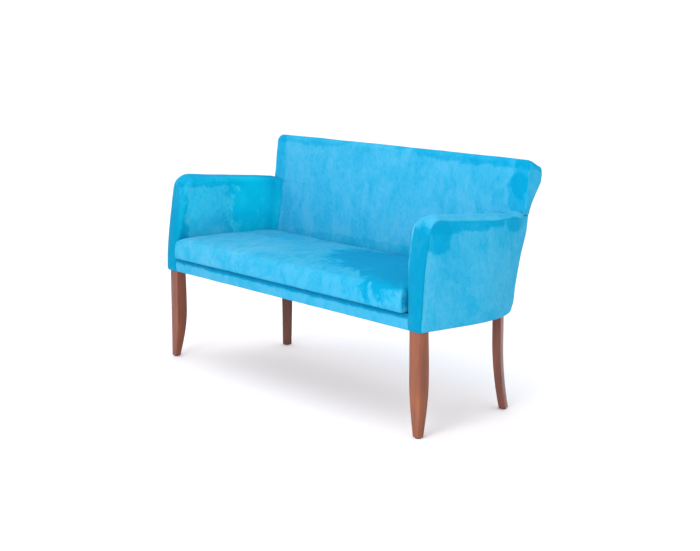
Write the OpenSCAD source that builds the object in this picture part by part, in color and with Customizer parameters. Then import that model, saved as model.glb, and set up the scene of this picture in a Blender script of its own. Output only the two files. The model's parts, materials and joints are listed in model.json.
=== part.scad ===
// Upholstered two-seater sofa: padded tub arms and a raked back on a hardwood frame with sabre legs.
// Millimetres, +X to the sitter's left (the viewer's right), +Y towards the back, +Z up.
// Y is worked out from the front faces of the front legs, and the whole is then centred on its own depth.

/* [Overall] */
// Width over the two arms
width = 1490; // [1350:5:1700]
// Height of the upholstered hem above the floor
hem_h = 335; // [320:5:350]
// Height of the arms at their front
arm_h = 693; // [680:1:710]
// Height of the crest of the back
back_h = 832; // [815:1:860]
// Depth of the tub at the hem, from the front legs to the outside of the back
tub_d = 486; // [470:2:520]

/* [Tub outline] */
// Angle at which the fronts of the arms lean back
front_rake = 6.5; // [4:0.5:8]
// Angle at which the rear curve of each side leans back
side_rake = 12.4; // [10:0.1:14]
// Angle at which the outside of the back leans back
rear_rake = 8.1; // [6:0.1:9.5]
// Angle at which the padded face of the back leans back
face_rake = 5.4; // [4:0.1:6]
// Distance behind the front where each side begins to curve inward, at the hem
side_start = 200; // [160:5:220]
// Radius of the long curve of each side
side_r = 440; // [400:10:520]
// Radius of the rear corners at the hem
corner_r = 145; // [125:5:170]
// Radius of the rear corners at the height of the arms
corner_top_r = 80; // [70:2:110]

/* [Arms] */
// Thickness of an arm at the hem
arm_hem_t = 64; // [60:1:66]
// Thickness of an arm above the seat
arm_top_t = 84; // [76:1:90]
// How far the padding of an arm stands proud of the front leg
arm_proud = 8; // [7:0.5:12]
// Angle at which the top of an arm falls towards the back
arm_fall = 4.4; // [3:0.2:5]
// Radius of an arm's front top corner, seen from the side
arm_nose_r = 45; // [35:1:55]
// Radius of the inner edge of an arm's front
arm_edge_r = 11; // [8:1:16]
// Radius of the outer top edge of an arm
arm_out_r = 12; // [8:1:16]
// Radius of the inner top edge of an arm
arm_in_r = 18; // [14:1:24]
// Rise of the padding along the middle of an arm's top
arm_crown = 7; // [2:0.5:9]
// Height over which an arm thickens inward, above the underside of the seat pad
arm_slope_h = 150; // [130:1:160]
// Radius of the padded corner between an arm and the back
cove_r = 30; // [22:1:36]

/* [Back] */
// How far the back above the arms stands in from the outside of the arms
back_inset = 43; // [35:1:55]
// Thickness of the padded back at the level of the hem
back_t = 52; // [48:1:60]
// Radius of the front edge of the crest
crest_r = 16; // [12:1:20]
// Height over which the crest rolls down to the outside
crest_roll = 36; // [28:1:40]
// Radius of the top corners of the back at the front of the crest
back_corner_r = 26; // [18:1:32]
// Radius of the same corners at the rear of the crest
back_corner_rear_r = 14; // [8:1:18]
// Height of the step where the back widens above the arms
step_h = 664; // [660:1:676]
// Radius of the back's rear corners just above that step
wing_low_r = 92; // [70:1:100]
// Height above the step over which that radius shrinks to the crest's
wing_turn_h = 94; // [70:2:120]
// Rise of the padding over the face of the back
back_crown = 5; // [2:1:8]

/* [Seat] */
// Height of the underside of the seat pad
seat_base_h = 388; // [384:1:392]
// Height of the seat pad's side, from its underside to its top edge
seat_side_h = 71; // [60:1:85]
// Rise of the seat pad's crown above its top edge
seat_crown = 16; // [8:1:24]
// How far the seat pad stands proud of the front legs
seat_proud = 21; // [16:1:26]
// Clearance between the seat pad and the padded arms and back
seat_gap = 3; // [2:0.5:6]
// Radius of the seat pad's front corners
seat_front_r = 10; // [8:1:20]
// How far the front of the seat pad is drawn in between its corners
seat_draw = 3; // [0:1:6]
// Thickness of the plywood seat base
seat_ply_t = 12; // [9:1:15]

/* [Covers and boards] */
// Thickness of a fabric cover with its fleece lining
cover_t = 3; // [2.5:0.1:4]
// Thickness of the bent plywood side boards and the board behind the back
board_t = 8; // [6:1:9]
// Thickness of the hardboard that lines the inside of an arm
lining_t = 3; // [2.5:0.5:4]
// Clearance between neighbouring pieces
fit = 0.3; // [0.2:0.05:0.5]
// How far the hem is drawn in at its lower edge
hem_tuck = 3; // [1:0.5:4]

/* [Front legs] */
// Width of a front leg at the hem, seen from the front
leg_w = 48; // [44:1:50]
// Depth of a front leg at the hem, seen from the side
leg_d = 39; // [36:1:44]
// Swell of a front leg's back face at mid height
leg_swell = 3; // [0:0.5:6]
// Width of a front leg at the foot
leg_foot_w = 28; // [24:1:34]
// Depth of a front leg at the foot
leg_foot_d = 20; // [18:1:26]
// Height over which a front leg tapers
leg_taper_h = 190; // [150:5:230]
// How far the front legs stand in from the outside of the arms
leg_inset = 12; // [12:0.5:14]

/* [Back legs] */
// Distance from the outside of an arm to the middle of a back leg at the hem
rear_leg_inset = 142; // [135:0.5:148]
// Distance from the front legs' faces to the middle of a back leg at the hem
rear_leg_y = 452; // [440:1:456]
// Thickness of a back leg along its curve at the hem
rear_leg_b = 29; // [26:1:34]
// Width of a back leg across its curve at the hem
rear_leg_t = 41; // [36:1:44]
// Share of a back leg's section that is left at the foot
rear_leg_taper = 0.82; // [0.7:0.01:0.95]
// How far a back leg's foot sweeps outward and back
rear_leg_sweep = 24; // [15:1:32]
// Direction of that sweep, measured from the side towards the back
rear_leg_turn = 32; // [20:1:45]
// Height at which a back leg begins to sweep
rear_leg_bend_h = 235; // [200:5:270]

/* [Frame] */
// Thickness of the seat rails
rail_t = 27; // [24:1:30]
// Distance between the underside of the seat rails and the hem
rail_lift = 8; // [8:0.5:10]
// Thickness of the back frame
stile_t = 18; // [16:1:20]
// Width of the back frame's stiles and rails
stile_w = 55; // [45:1:65]
// Thickness of the arm rails
arm_rail_t = 22; // [18:1:25]
// Thickness of the foam on top of the arm rails
arm_foam_t = 12; // [9:1:15]
// Thickness of the arm posts, seen from the front
post_w = 43; // [38:1:45]
// Width of the webbing bands
web_w = 50; // [40:5:60]
// Thickness of the webbing
web_t = 2; // [1.5:0.5:3]

/* [Fasteners and glides] */
// Diameter of a glide
glide_d = 17; // [14:1:19]
// Height of a glide
glide_h = 3; // [2:0.5:4]
// Diameter of a glide's pin
pin_d = 2.4; // [2:0.2:3]
// Length of a glide's pin
pin_l = 20; // [15:1:30]
// Diameter of the back legs' bolts
bolt_d = 8; // [6:1:10]
// Diameter of the wood screws
screw_d = 5; // [4:0.5:6]

/* [Hidden] */

// Colours as photographed: lit fabric, shaded fabric, wood, lit wood.
fabric = [0.22, 0.70, 0.93];
fabric_shade = [0.05, 0.62, 0.87];
mahogany = [0.56, 0.32, 0.27];
beech = [0.80, 0.64, 0.44];
plywood = [0.76, 0.62, 0.42];
foam_tint = [0.95, 0.92, 0.72];
web_tint = [0.25, 0.24, 0.22];
steel = [0.72, 0.72, 0.74];
nylon = [0.12, 0.12, 0.13];

half_w = width / 2;
back_half_w = half_w - back_inset;
rear_leg_x = half_w - rear_leg_inset;
leg_out_x = half_w - leg_inset;
leg_in_x = leg_out_x - leg_w;
post_in_x = leg_out_x - post_w;
rail_z0 = hem_h + rail_lift;
rail_z1 = seat_base_h;
rail_h = rail_z1 - rail_z0;
// Depth from the outside of the covers to the frame.
board_in = cover_t + 2 * fit + board_t;

// Position of the rear and front faces at a height, with the lean of each.
function lean(z, a) = (z - hem_h) * tan(a);
function front_y(z) = -arm_proud + lean(z, front_rake);
function rear_y(z) = tub_d + lean(z, rear_rake);
function face_y(z) = tub_d - back_t + lean(z, face_rake);
function mix(a, b, t) = a + (b - a) * t;
function limit(v, lo, hi) = min(max(v, lo), hi);
// Depth lost by a round of radius r at a distance e from its face.
function round_in(r, e) = e >= r ? 0 : r - sqrt(r * r - (r - e) * (r - e));

crest_z = back_h - crest_r;
crest_y = face_y(crest_z) + crest_r;
roll_z = back_h - crest_roll;
roll_a = rear_y(roll_z) - crest_y;
front_most = -seat_proud;
rear_most = rear_y(roll_z);
mid_y = (front_most + rear_most) / 2;

// Outline of the tub below the tops of the arms, as a path from the front of one side (0) along its
// straight part (to 1), its long curve (to 2) and its rear corner (to 3) to the middle of the back (4).
function side_y(z) = side_start + lean(z, side_rake);
function rear_r(z) = mix(corner_r, corner_top_r, (z - hem_h) / (arm_h - hem_h));
function corner_y(z) = rear_y(z) - rear_r(z);
function corner_x(z) =
    half_w - side_r + sqrt(pow(side_r - rear_r(z), 2) - pow(corner_y(z) - side_y(z), 2));
function turn(z) = asin((corner_y(z) - side_y(z)) / (side_r - rear_r(z)));
function tub_pt(s, z, d, set = 0) =
    s <= 1 ? [half_w - d, mix(front_y(z) + set, side_y(z), s), z] :
    s <= 2 ? let (a = (s - 1) * turn(z))
        [half_w - side_r + (side_r - d) * cos(a), side_y(z) + (side_r - d) * sin(a), z] :
    s <= 3 ? let (a = mix(turn(z), 90, s - 2))
        [corner_x(z) + (rear_r(z) - d) * cos(a), corner_y(z) + (rear_r(z) - d) * sin(a), z] :
    [corner_x(z) * (4 - s), rear_y(z) - d, z];
// Outer X of the tub at a given Y.
function outer_x(y, z, d) =
    y <= side_y(z) ? half_w - d :
    y <= side_y(z) + (side_r - d) * sin(turn(z)) ?
        half_w - side_r + sqrt(pow(side_r - d, 2) - pow(y - side_y(z), 2)) :
    corner_x(z) + sqrt(max(0, pow(rear_r(z) - d, 2) - pow(y - corner_y(z), 2)));
// Outline of the back above the arms: its side and rear corner (0 to 2) and rear face (to 3). Low down,
// the corner's curve begins at the padded face.
function wing_r(z) = limit(mix(wing_low_r, crest_r, (z - step_h) / wing_turn_h), crest_r, wing_low_r);
function wing_y0(z) = face_y(z) + cover_t + fit;
function wing_cy(z) = rear_y(z) - wing_r(z);
function wing_a(z, d) = asin(limit((wing_y0(z) - wing_cy(z)) / (wing_r(z) - d), 0, 1));
function wing_cx(z) = back_half_w - wing_r(z) * cos(wing_a(z, 0));
function wing_side(z) = max(0, wing_cy(z) - wing_y0(z));
function wing_arc(z, d) = wing_r(z) * (90 - wing_a(z, d)) * PI / 180;
function wing_pt(s, z, d) =
    s > 2 ? [wing_cx(z) * (3 - s), rear_y(z) - d, z] :
    let (t = s / 2 * (wing_side(z) + wing_arc(z, d)),
         a = wing_a(z, d) + (t - wing_side(z)) / wing_r(z) * 180 / PI)
    t < wing_side(z) ? [back_half_w - d, wing_y0(z) + t, z] :
    [wing_cx(z) + (wing_r(z) - d) * cos(a), wing_cy(z) + (wing_r(z) - d) * sin(a), z];

// Top of an arm, its inner face, and the crest of the back.
function arm_z(y) = arm_h - (y + arm_proud) * tan(arm_fall);
function arm_in_x(z) = half_w - mix(arm_hem_t, arm_top_t, limit((z - seat_base_h) / arm_slope_h, 0, 1));
function crest_at(y) =
    y <= crest_y ? crest_z + sqrt(max(0, pow(crest_r, 2) - pow(crest_y - y, 2))) :
    roll_z + crest_roll * sqrt(max(0, 1 - pow((y - crest_y) / roll_a, 2)));

// Depth lost at the top corners of the back, whose radius shrinks towards the rear.
function corner_drop(x, y) =
    round_in(
        mix(back_corner_r, back_corner_rear_r, limit((y - crest_y) / roll_a, 0, 1)),
        max(0, crest_half(y) - abs(x)));
function crest_half(y) = back_half_w - round_in(crest_r, max(0, rear_most - y));

// A closed solid between two skins of the same layout. The loop runs round the open edge of the skin
// in the direction of its faces.
module thick(skin, lining, faces, loop) {
    n = len(skin);
    polyhedron(
        points = concat(skin, lining),
        faces = concat(
            faces,
            [for (f = faces) [for (i = [len(f) - 1:-1:0]) f[i] + n]],
            [for (i = [0:len(loop) - 1]) let (p = loop[i], q = loop[(i + 1) % len(loop)]) each
                [[q, p, p + n], [q, p + n, q + n]]]),
        convexity = 8);
}
function flat_list(grid) = [for (row = grid) each row];
function grid_faces(rows, cols, base = 0) = [
    for (i = [0:rows - 2], j = [0:cols - 2])
        let (a = base + i * cols + j, b = a + cols) each [[a, b, b + 1], [a, b + 1, a + 1]]];
function grid_loop(rows, cols) = concat(
    [for (i = [0:rows - 1]) i * cols],
    [for (j = [1:cols - 1]) (rows - 1) * cols + j],
    [for (i = [rows - 2:-1:0]) i * cols + cols - 1],
    [for (j = [cols - 2:-1:1]) j]);
module sheet(outer, inner) {
    rows = len(outer);
    cols = len(outer[0]);
    thick(flat_list(outer), flat_list(inner), grid_faces(rows, cols), grid_loop(rows, cols));
}
// The same drawn on both sides of the middle, and the move to the middle of the depth.
module on_side(side) {
    translate([0, -mid_y, 0]) {
        if (side > 0) children();
        else mirror([1, 0, 0]) children();
    }
}
module centred() {
    translate([0, -mid_y, 0]) children();
}

// Front leg and arm post, sawn from one piece: straight in front and outside, swelling and tapering
// on the inside and the back, and raked above the hem.
leg_steps = 9;
post_d = leg_d - 5;
rail_drop = cover_t + fit + arm_foam_t;
function arm_rail_z(y) = arm_z(y) - rail_drop;
function post_y(z) = lean(z, front_rake);
post_z = arm_rail_z(post_y(arm_h) + post_d / 2) - arm_rail_t / cos(arm_fall);
function leg_depth(z) =
    z < leg_taper_h ? mix(leg_foot_d, leg_d + leg_swell, sin(90 * z / leg_taper_h)) :
    leg_d + leg_swell * cos(90 * (z - leg_taper_h) / (hem_h - leg_taper_h));
function leg_width(z) = mix(leg_foot_w, leg_w, sin(90 * min(1, z / leg_taper_h)));
leg_heights = concat(
    [for (i = [3:-1:0]) mix(leg_taper_h, hem_h, i / 3)],
    [for (i = [leg_steps:-1:0]) mix(glide_h, leg_taper_h, i / (leg_steps + 1))]);
module front_leg(side) {
    color(mahogany)
    on_side(side)
    difference() {
        intersection() {
            translate([leg_in_x - leg_w, 0, 0])
            rotate([90, 0, 90])
            linear_extrude(3 * leg_w)
            polygon(concat(
                [[0, glide_h],
                 [0, hem_h],
                 [post_y(post_z), post_z + post_d / 2 * tan(arm_fall)],
                 [post_y(post_z) + post_d, post_z - post_d / 2 * tan(arm_fall)],
                 [leg_d, rail_z1]],
                [for (z = leg_heights) [leg_depth(z), z]]));
            translate([0, 3 * leg_d, 0])
            rotate([90, 0, 0])
            linear_extrude(5 * leg_d)
            polygon(concat(
                [[leg_out_x, glide_h],
                 [leg_out_x, arm_h],
                 [post_in_x, arm_h],
                 [post_in_x, rail_z1],
                 [leg_in_x, rail_z1]],
                [for (z = leg_heights) [leg_out_x - leg_width(z), z]]));
        }
        translate([leg_out_x - leg_foot_w / 2, leg_foot_d / 2, 0])
        cylinder(d = pin_d, h = glide_h + pin_l, $fn = 24);
    }
}

// Back leg: sawn to a curve that sweeps outward and back, turned across the corner of the frame, with
// a neck that passes inside the hem to the underside of the rail.
rear_steps = 10;
neck_b = 16;
neck_t = 24;
bolt_head_h = 6;
bolt_head_d = 2 * bolt_d;
bolt_reach = 60;
rear_leg_top = hem_h - fit;
function rear_bend(z) = rear_leg_sweep * pow(1 - min(1, z / rear_leg_bend_h), 2);
function rear_share(z) = mix(rear_leg_taper, 1, min(1, z / rear_leg_bend_h));
rear_heights = [for (i = [0:rear_steps]) mix(glide_h, rear_leg_top, i / rear_steps)];
module at_back_leg(side) {
    on_side(side)
    translate([rear_leg_x, rear_leg_y, 0])
    rotate([0, 0, rear_leg_turn])
    children();
}
module back_leg(side) {
    color(mahogany)
    at_back_leg(side)
    difference() {
        union() {
            intersection() {
                translate([0, rear_leg_t, 0])
                rotate([90, 0, 0])
                linear_extrude(2 * rear_leg_t)
                polygon(concat(
                    [for (z = rear_heights) [rear_bend(z) - rear_leg_b / 2 * rear_share(z), z]],
                    [for (i = [rear_steps:-1:0]) let (z = rear_heights[i])
                        [rear_bend(z) + rear_leg_b / 2 * rear_share(z), z]]));
                translate([-3 * rear_leg_b, 0, 0])
                rotate([90, 0, 90])
                linear_extrude(6 * rear_leg_b)
                polygon(concat(
                    [for (z = [glide_h, rear_leg_bend_h, rear_leg_top])
                        [-rear_leg_t / 2 * rear_share(z), z]],
                    [for (z = [rear_leg_top, rear_leg_bend_h, glide_h])
                        [rear_leg_t / 2 * rear_share(z), z]]));
            }
            translate([-neck_b / 2, -neck_t / 2, rear_leg_top - 1])
            cube([neck_b, neck_t, rail_z0 - rear_leg_top + 1]);
        }
        translate([0, 0, rail_z0 - bolt_reach]) cylinder(d = bolt_d, h = bolt_reach + 1, $fn = 32);
        translate([rear_bend(0), 0, 0]) cylinder(d = pin_d, h = glide_h + pin_l, $fn = 24);
    }
}

// Bolts that pull the back legs up to the side rails.
module back_leg_bolts() {
    color(steel)
    for (side = [-1, 1])
        at_back_leg(side)
        union() {
            translate([0, 0, rail_z0 - bolt_reach]) cylinder(d = bolt_d, h = bolt_reach + rail_h, $fn = 32);
            translate([0, 0, rail_z1 - bolt_head_h]) cylinder(d = bolt_head_d, h = bolt_head_h, $fn = 32);
        }
}

// Glides under the feet and the pins that hold them.
pin_head_h = 1;
pin_head_d = 2 * pin_d;
module at_feet() {
    for (side = [-1, 1]) {
        on_side(side) translate([leg_out_x - leg_foot_w / 2, leg_foot_d / 2, 0]) children();
        at_back_leg(side) translate([rear_bend(0), 0, 0]) children();
    }
}
module leg_glides() {
    color(nylon)
    at_feet()
    difference() {
        cylinder(d = glide_d, h = glide_h, $fn = 48);
        translate([0, 0, -1]) cylinder(d = pin_d, h = glide_h + 2, $fn = 24);
        translate([0, 0, -1]) cylinder(d = pin_head_d, h = 1 + 2 * pin_head_h, $fn = 24);
    }
}
module glide_pins() {
    color(steel)
    at_feet()
    union() {
        translate([0, 0, pin_head_h]) cylinder(d = pin_head_d, h = pin_head_h, $fn = 24);
        translate([0, 0, pin_head_h]) cylinder(d = pin_d, h = glide_h - pin_head_h + pin_l, $fn = 24);
    }
}

// Seat frame: a front rail between the legs, curved side rails round to the rear corners, a back rail
// between their ends, and two cross rails.
apron_y = -2;
front_rail_y = apron_y + cover_t + fit;
front_rail_t = rail_t - 2;
front_rail_y1 = front_rail_y + front_rail_t;
back_rail_y1 = rear_y(rail_z0) - board_in;
back_rail_y0 = back_rail_y1 - rail_t;
side_rail_x = corner_x(rail_z0);
cross_share = 0.315;
cross_x = cross_share * half_w;
cross_t = 24;
mid_rail_z = (rail_z0 + rail_z1) / 2;
block_leg = 2.6 * rail_t;
block_h = rail_h * 2 / 3;
block_screw_x = leg_in_x - block_leg / 2;
block_screw_l = 36;
module screw_hole_y(x, y, l) {
    translate([x, y, mid_rail_z]) rotate([-90, 0, 0]) cylinder(d = screw_d, h = l, $fn = 24);
}
module front_seat_rail() {
    color(beech)
    centred()
    difference() {
        translate([-leg_in_x, front_rail_y, hem_h + cover_t + fit])
        cube([2 * leg_in_x, front_rail_t, rail_z1 - hem_h - 2 * (cover_t + fit)]);
        for (x = [-block_screw_x, block_screw_x])
            screw_hole_y(x, front_rail_y1 - block_screw_l / 2, block_screw_l);
    }
}
module back_seat_rail() {
    color(beech)
    centred()
    translate([-side_rail_x, back_rail_y0, rail_z0])
    cube([2 * side_rail_x, rail_t, rail_h]);
}
rail_path = [0, 0.5, 1, 1.25, 1.5, 1.75, 2, 2.2, 2.4, 2.6, 2.8, 3];
function plan(s, z, d, set = 0) = let (p = tub_pt(s, z, d, set)) [p[0], p[1]];
module side_seat_rail(side) {
    color(beech)
    on_side(side)
    difference() {
        translate([0, 0, rail_z0])
        linear_extrude(rail_h)
        polygon(concat(
            [for (s = rail_path) plan(s, rail_z0, board_in, leg_d + arm_proud + fit)],
            [for (i = [len(rail_path) - 1:-1:0])
                plan(rail_path[i], rail_z0, board_in + rail_t, leg_d + arm_proud + fit)]));
        translate([rear_leg_x, rear_leg_y, rail_z0 - 1])
        cylinder(d = bolt_d, h = rail_h + 2, $fn = 32);
        translate([rear_leg_x, rear_leg_y, rail_z1 - bolt_head_h])
        cylinder(d = bolt_head_d, h = rail_h, $fn = 32);
    }
}
cross_spots = [0.3, 0.8];
function cross_y(t) = mix(front_rail_y1, back_rail_y0, t);
module cross_rails() {
    color(beech)
    centred()
    for (x = [-cross_x, cross_x])
        difference() {
            translate([x - cross_t / 2, front_rail_y1, rail_z0])
            cube([cross_t, back_rail_y0 - front_rail_y1, rail_h]);
            for (t = cross_spots)
                translate([x, cross_y(t), rail_z0 - 1])
                cylinder(d = screw_d, h = rail_h + 2, $fn = 24);
        }
}

// Corner blocks: notched round the front legs in front, and closing the curve of the rails behind.
block_x = half_w - board_in - rail_t - fit;
block_path = [1.75, 2, 2.2, 2.4, 2.6, 2.8, 3];
module corner_blocks() {
    color(beech)
    for (side = [-1, 1])
        on_side(side) {
            difference() {
                translate([0, 0, mid_rail_z - block_h / 2])
                linear_extrude(block_h)
                polygon([
                    [leg_in_x - block_leg, front_rail_y1 + fit],
                    [leg_in_x - fit, front_rail_y1 + fit],
                    [leg_in_x - fit, leg_d + leg_swell + fit],
                    [block_x, leg_d + leg_swell + fit],
                    [block_x, front_rail_y1 + block_leg]]);
                screw_hole_y(block_screw_x, front_rail_y1 - block_screw_l / 2, 2 * block_screw_l);
            }
            translate([0, 0, mid_rail_z - block_h / 2])
            linear_extrude(block_h)
            polygon([for (s = block_path) plan(s, rail_z0, board_in + rail_t + fit)]);
        }
}
module corner_block_screws() {
    color(steel)
    for (side = [-1, 1])
        on_side(side)
        screw_hole_y(block_screw_x, front_rail_y1 - block_screw_l / 2, block_screw_l);
}

// Arm rail on top of the post, following the side board, falling towards the back with the arm.
arm_rail_dist = 18;
arm_rail_path = [0, 0.5, 1, 1.3, 1.6, 1.85];
arm_rail_ref = mix(hem_h, arm_h, 0.74);
arm_rail_set = post_y(post_z) + post_d / 2 - front_y(arm_rail_ref);
module arm_rail(side) {
    color(beech)
    on_side(side)
    translate([0, -arm_proud, arm_h - rail_drop - arm_rail_t / cos(arm_fall)])
    rotate([-arm_fall, 0, 0])
    linear_extrude(arm_rail_t)
    polygon(concat(
        [for (s = arm_rail_path) let (p = plan(s, arm_rail_ref, board_in, arm_rail_set))
            [p[0], (p[1] + arm_proud) / cos(arm_fall)]],
        [for (s = [arm_rail_path[len(arm_rail_path) - 1], 0])
            let (p = plan(s, arm_rail_ref, board_in, arm_rail_set))
            [post_in_x, (p[1] + arm_proud) / cos(arm_fall)]]));
}

// Height at which an arm's nose begins.
nose_z = arm_h - arm_nose_r;
// Drop of an arm's top edge at a distance behind its front, for a skin at depth d.
function nose_drop(e, d) =
    e >= arm_nose_r ? d : arm_nose_r - sqrt(max(0, pow(arm_nose_r - d, 2) - pow(arm_nose_r - e, 2)));

// Bent plywood side board, from the post round the rear corner.
board_path = [0, 0.04, 0.12, 0.3, 0.6, 1, 1.33, 1.66, 2, 2.25, 2.5, 2.75, 3, 3.03];
function board_pt(s, t, d) =
    let (top = tub_pt(s, nose_z, d, arm_proud),
         drop = max(rail_drop, nose_drop(top[1] - front_y(nose_z), rail_drop - arm_foam_t + fit)),
         z = mix(rail_z0, arm_z(top[1]) - drop, t))
    tub_pt(s, z, d, arm_proud);
module side_board(side) {
    color(plywood)
    on_side(side)
    sheet(
        [for (t = [0, 0.25, 0.5, 0.75, 1]) [for (s = board_path) board_pt(s, t, cover_t + fit)]],
        [for (t = [0, 0.25, 0.5, 0.75, 1]) [for (s = board_path) board_pt(s, t, board_in - fit)]]);
}

// Skin of an arm as rows from its front to the back and, in each row, points from the outer top edge
// over the top and down the inner face. The first rows roll over the nose, the last ones run round the
// cove against the back.
nose_rows = [0, 18, 36, 54, 72, 90];
arm_rows = [0.2, 0.4, 0.55, 0.7, 0.85, 1];
cove_rows = [22, 45, 67, 90];
row_count = len(nose_rows) + len(arm_rows) + len(cove_rows);
function is_nose(r) = r < len(nose_rows);
plain_rows = len(nose_rows) + len(arm_rows);
function cove_turn(r) = r < plain_rows ? 0 : cove_rows[r - plain_rows];
function cove_end(z) = face_y(z) - fit - cover_t;
function nose_dist(r, d) = arm_nose_r - (arm_nose_r - d) * cos(nose_rows[r]);
function row_y(r, z, d) =
    is_nose(r) ? front_y(z) + nose_dist(r, d) :
    cove_turn(r) == 0 ?
        mix(front_y(z) + arm_nose_r, cove_end(z) - cove_r, arm_rows[r - len(nose_rows)]) :
    cove_end(z) - cove_r + (cove_r + d) * sin(cove_turn(r));
function row_top(r, d) =
    arm_z(row_y(r, nose_z, d)) + (is_nose(r) ? (arm_nose_r - d) * sin(nose_rows[r]) - arm_nose_r : -d);
function inner_x(r, z, d) =
    arm_in_x(z) + (
    is_nose(r) && nose_dist(r, d) < arm_edge_r ?
        arm_edge_r - sqrt(max(0, pow(arm_edge_r - d, 2) - pow(arm_edge_r - nose_dist(r, d), 2))) :
    cove_turn(r) == 0 ? d :
    -cove_r + (cove_r + d) * cos(cove_turn(r)));
arm_bottom = seat_base_h + 2;
// Height of the last row of an arm's cover and foam above their lower edge.
arm_foot_h = 20;
arm_side_z = [for (t = [1.5, 1, 0.5]) seat_base_h + t * arm_slope_h];
// How far the outer part of an arm's rear end runs on past the face of the back, to the seam.
function tail(r, z) =
    let (reach = tub_pt(seam_s, z, 0)[1] - 2 * fit - cove_end(z) - cover_t)
    cove_turn(r) == 0 ? 0 : reach * pow(sin(cove_turn(r)), 2);
function top_arc(r, d, a) =
    let (z = row_top(r, d) + d - arm_out_r + (arm_out_r - d) * sin(a),
         y = row_y(r, z, d) + tail(r, z))
    [outer_x(y, z, 0) - arm_out_r + (arm_out_r - d) * cos(a), y, z];
function in_arc(r, d, a) =
    let (z = row_top(r, d) + d - arm_in_r + (arm_in_r - d) * sin(a),
         y = row_y(r, z, d))
    [inner_x(r, z, d) + (arm_in_r - d) * (1 - cos(a)), y, z];
function arm_side(r, d, z) = [inner_x(r, z, d), row_y(r, z, d), z];
function arm_mid(r, d) =
    let (a = top_arc(r, d, 90), b = in_arc(r, d, 90),
         rise = arm_crown * (is_nose(r) ? sin(nose_rows[r]) : 1))
    [(a[0] + b[0]) / 2, b[1], (a[2] + b[2]) / 2 + rise];
function arm_row(r, d) = concat(
    [for (a = [0, 30, 60, 90]) top_arc(r, d, a)],
    [arm_mid(r, d)],
    [for (a = [90, 60, 30, 0]) in_arc(r, d, a)],
    [for (z = arm_side_z) arm_side(r, d, z)],
    [for (z = r < 2 ? [seat_base_h, hem_h] : [arm_bottom + arm_foot_h, arm_bottom]) arm_side(r, d, z)]);
function arm_front_corner(d) = [half_w - d, front_y(hem_h) + d, hem_h];
module inside_arm_cover(side) {
    skin = [for (r = [0:row_count - 1]) arm_row(r, 0)];
    lining = [for (r = [0:row_count - 1]) arm_row(r, cover_t)];
    cols = len(skin[0]);
    front = row_count * cols;
    color(fabric)
    on_side(side)
    thick(
        concat(flat_list(lining), [arm_front_corner(cover_t)]),
        concat(flat_list(skin), [arm_front_corner(0)]),
        concat(grid_faces(row_count, cols), [for (j = [0:cols - 2]) [j, j + 1, front]]),
        concat(
            [for (i = [0:row_count - 1]) i * cols],
            [for (j = [1:cols - 1]) (row_count - 1) * cols + j],
            [for (i = [row_count - 2:-1:0]) i * cols + cols - 1],
            [front]));
}

// Foam on the inner face of an arm, the board that lines it, and foam on the arm rail.
foam_in = cover_t + fit;
lining_x = post_in_x - fit - lining_t;
first_foam_row = 1;
last_foam_row = plain_rows - 1;
function foam_side_top(r) =
    let (p = in_arc(r, foam_in, 15), z = arm_rail_z(p[1]))
    p[2] <= z ? p : arm_side(r, foam_in, z);
function foam_side(r) = concat(
    [foam_side_top(r)],
    [for (z = arm_side_z) arm_side(r, foam_in, z)],
    [for (z = [arm_bottom + arm_foot_h, arm_bottom]) arm_side(r, foam_in, z)]);
module arm_side_foam(side) {
    rows = [for (r = [first_foam_row:last_foam_row]) foam_side(r)];
    color(foam_tint)
    on_side(side)
    sheet([for (row = rows) [for (p = row) [max(lining_x - fit, p[0] + 0.5), p[1], p[2]]]], rows);
}
module arm_lining(side) {
    z1 = arm_rail_z(tub_d) - arm_rail_t;
    color(plywood)
    on_side(side)
    translate([lining_x, 0, 0])
    rotate([90, 0, 90])
    linear_extrude(lining_t)
    polygon([
        [post_y(arm_bottom), arm_bottom],
        [post_y(z1), z1],
        [cove_end(z1) - cove_r, z1],
        [cove_end(arm_bottom) - cove_r, arm_bottom]]);
}
function foam_top(r) = concat(
    [for (a = [0, 30, 60, 90]) top_arc(r, foam_in, a)],
    [arm_mid(r, foam_in)],
    [for (a = [90, 60, 35]) in_arc(r, foam_in, a)]);
module arm_top_foam(side) {
    rows = [for (r = [4:last_foam_row]) foam_top(r)];
    color(foam_tint)
    on_side(side)
    sheet([for (row = rows) [for (p = row) [p[0], p[1], arm_rail_z(p[1]) + fit]]], rows);
}

// Outer side panel of an arm, from the seam on its front edge to the seam at the rear corner.
seam_s = 2.18;
side_path = [0, 0.02, 0.05, 0.1, 0.2, 0.35, 0.6, 1, 1.25, 1.5, 1.75, 2, seam_s];
hem_rows = [[0, 1], [2.5, 0.3], [7, 0]];
function side_pt(s, z, d) = tub_pt(s, z, d, cover_t + fit);
function side_top(s) =
    let (z = nose_z, y = side_pt(s, z, 0)[1])
    arm_z(y) - arm_out_r - fit - nose_drop(y - front_y(z), 0);
module outside_arm_cover(side) {
    rows = [for (d = [0, cover_t]) concat(
        [for (h = hem_rows) [for (s = side_path) side_pt(s, hem_h + h[0], d + hem_tuck * h[1])]],
        [for (t = [0.2, 0.4, 0.6, 0.8, 1]) [for (s = side_path)
            side_pt(s, mix(hem_h + hem_rows[2][0], side_top(s), t), d)]])];
    color(fabric)
    on_side(side)
    sheet(rows[0], rows[1]);
}

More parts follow.
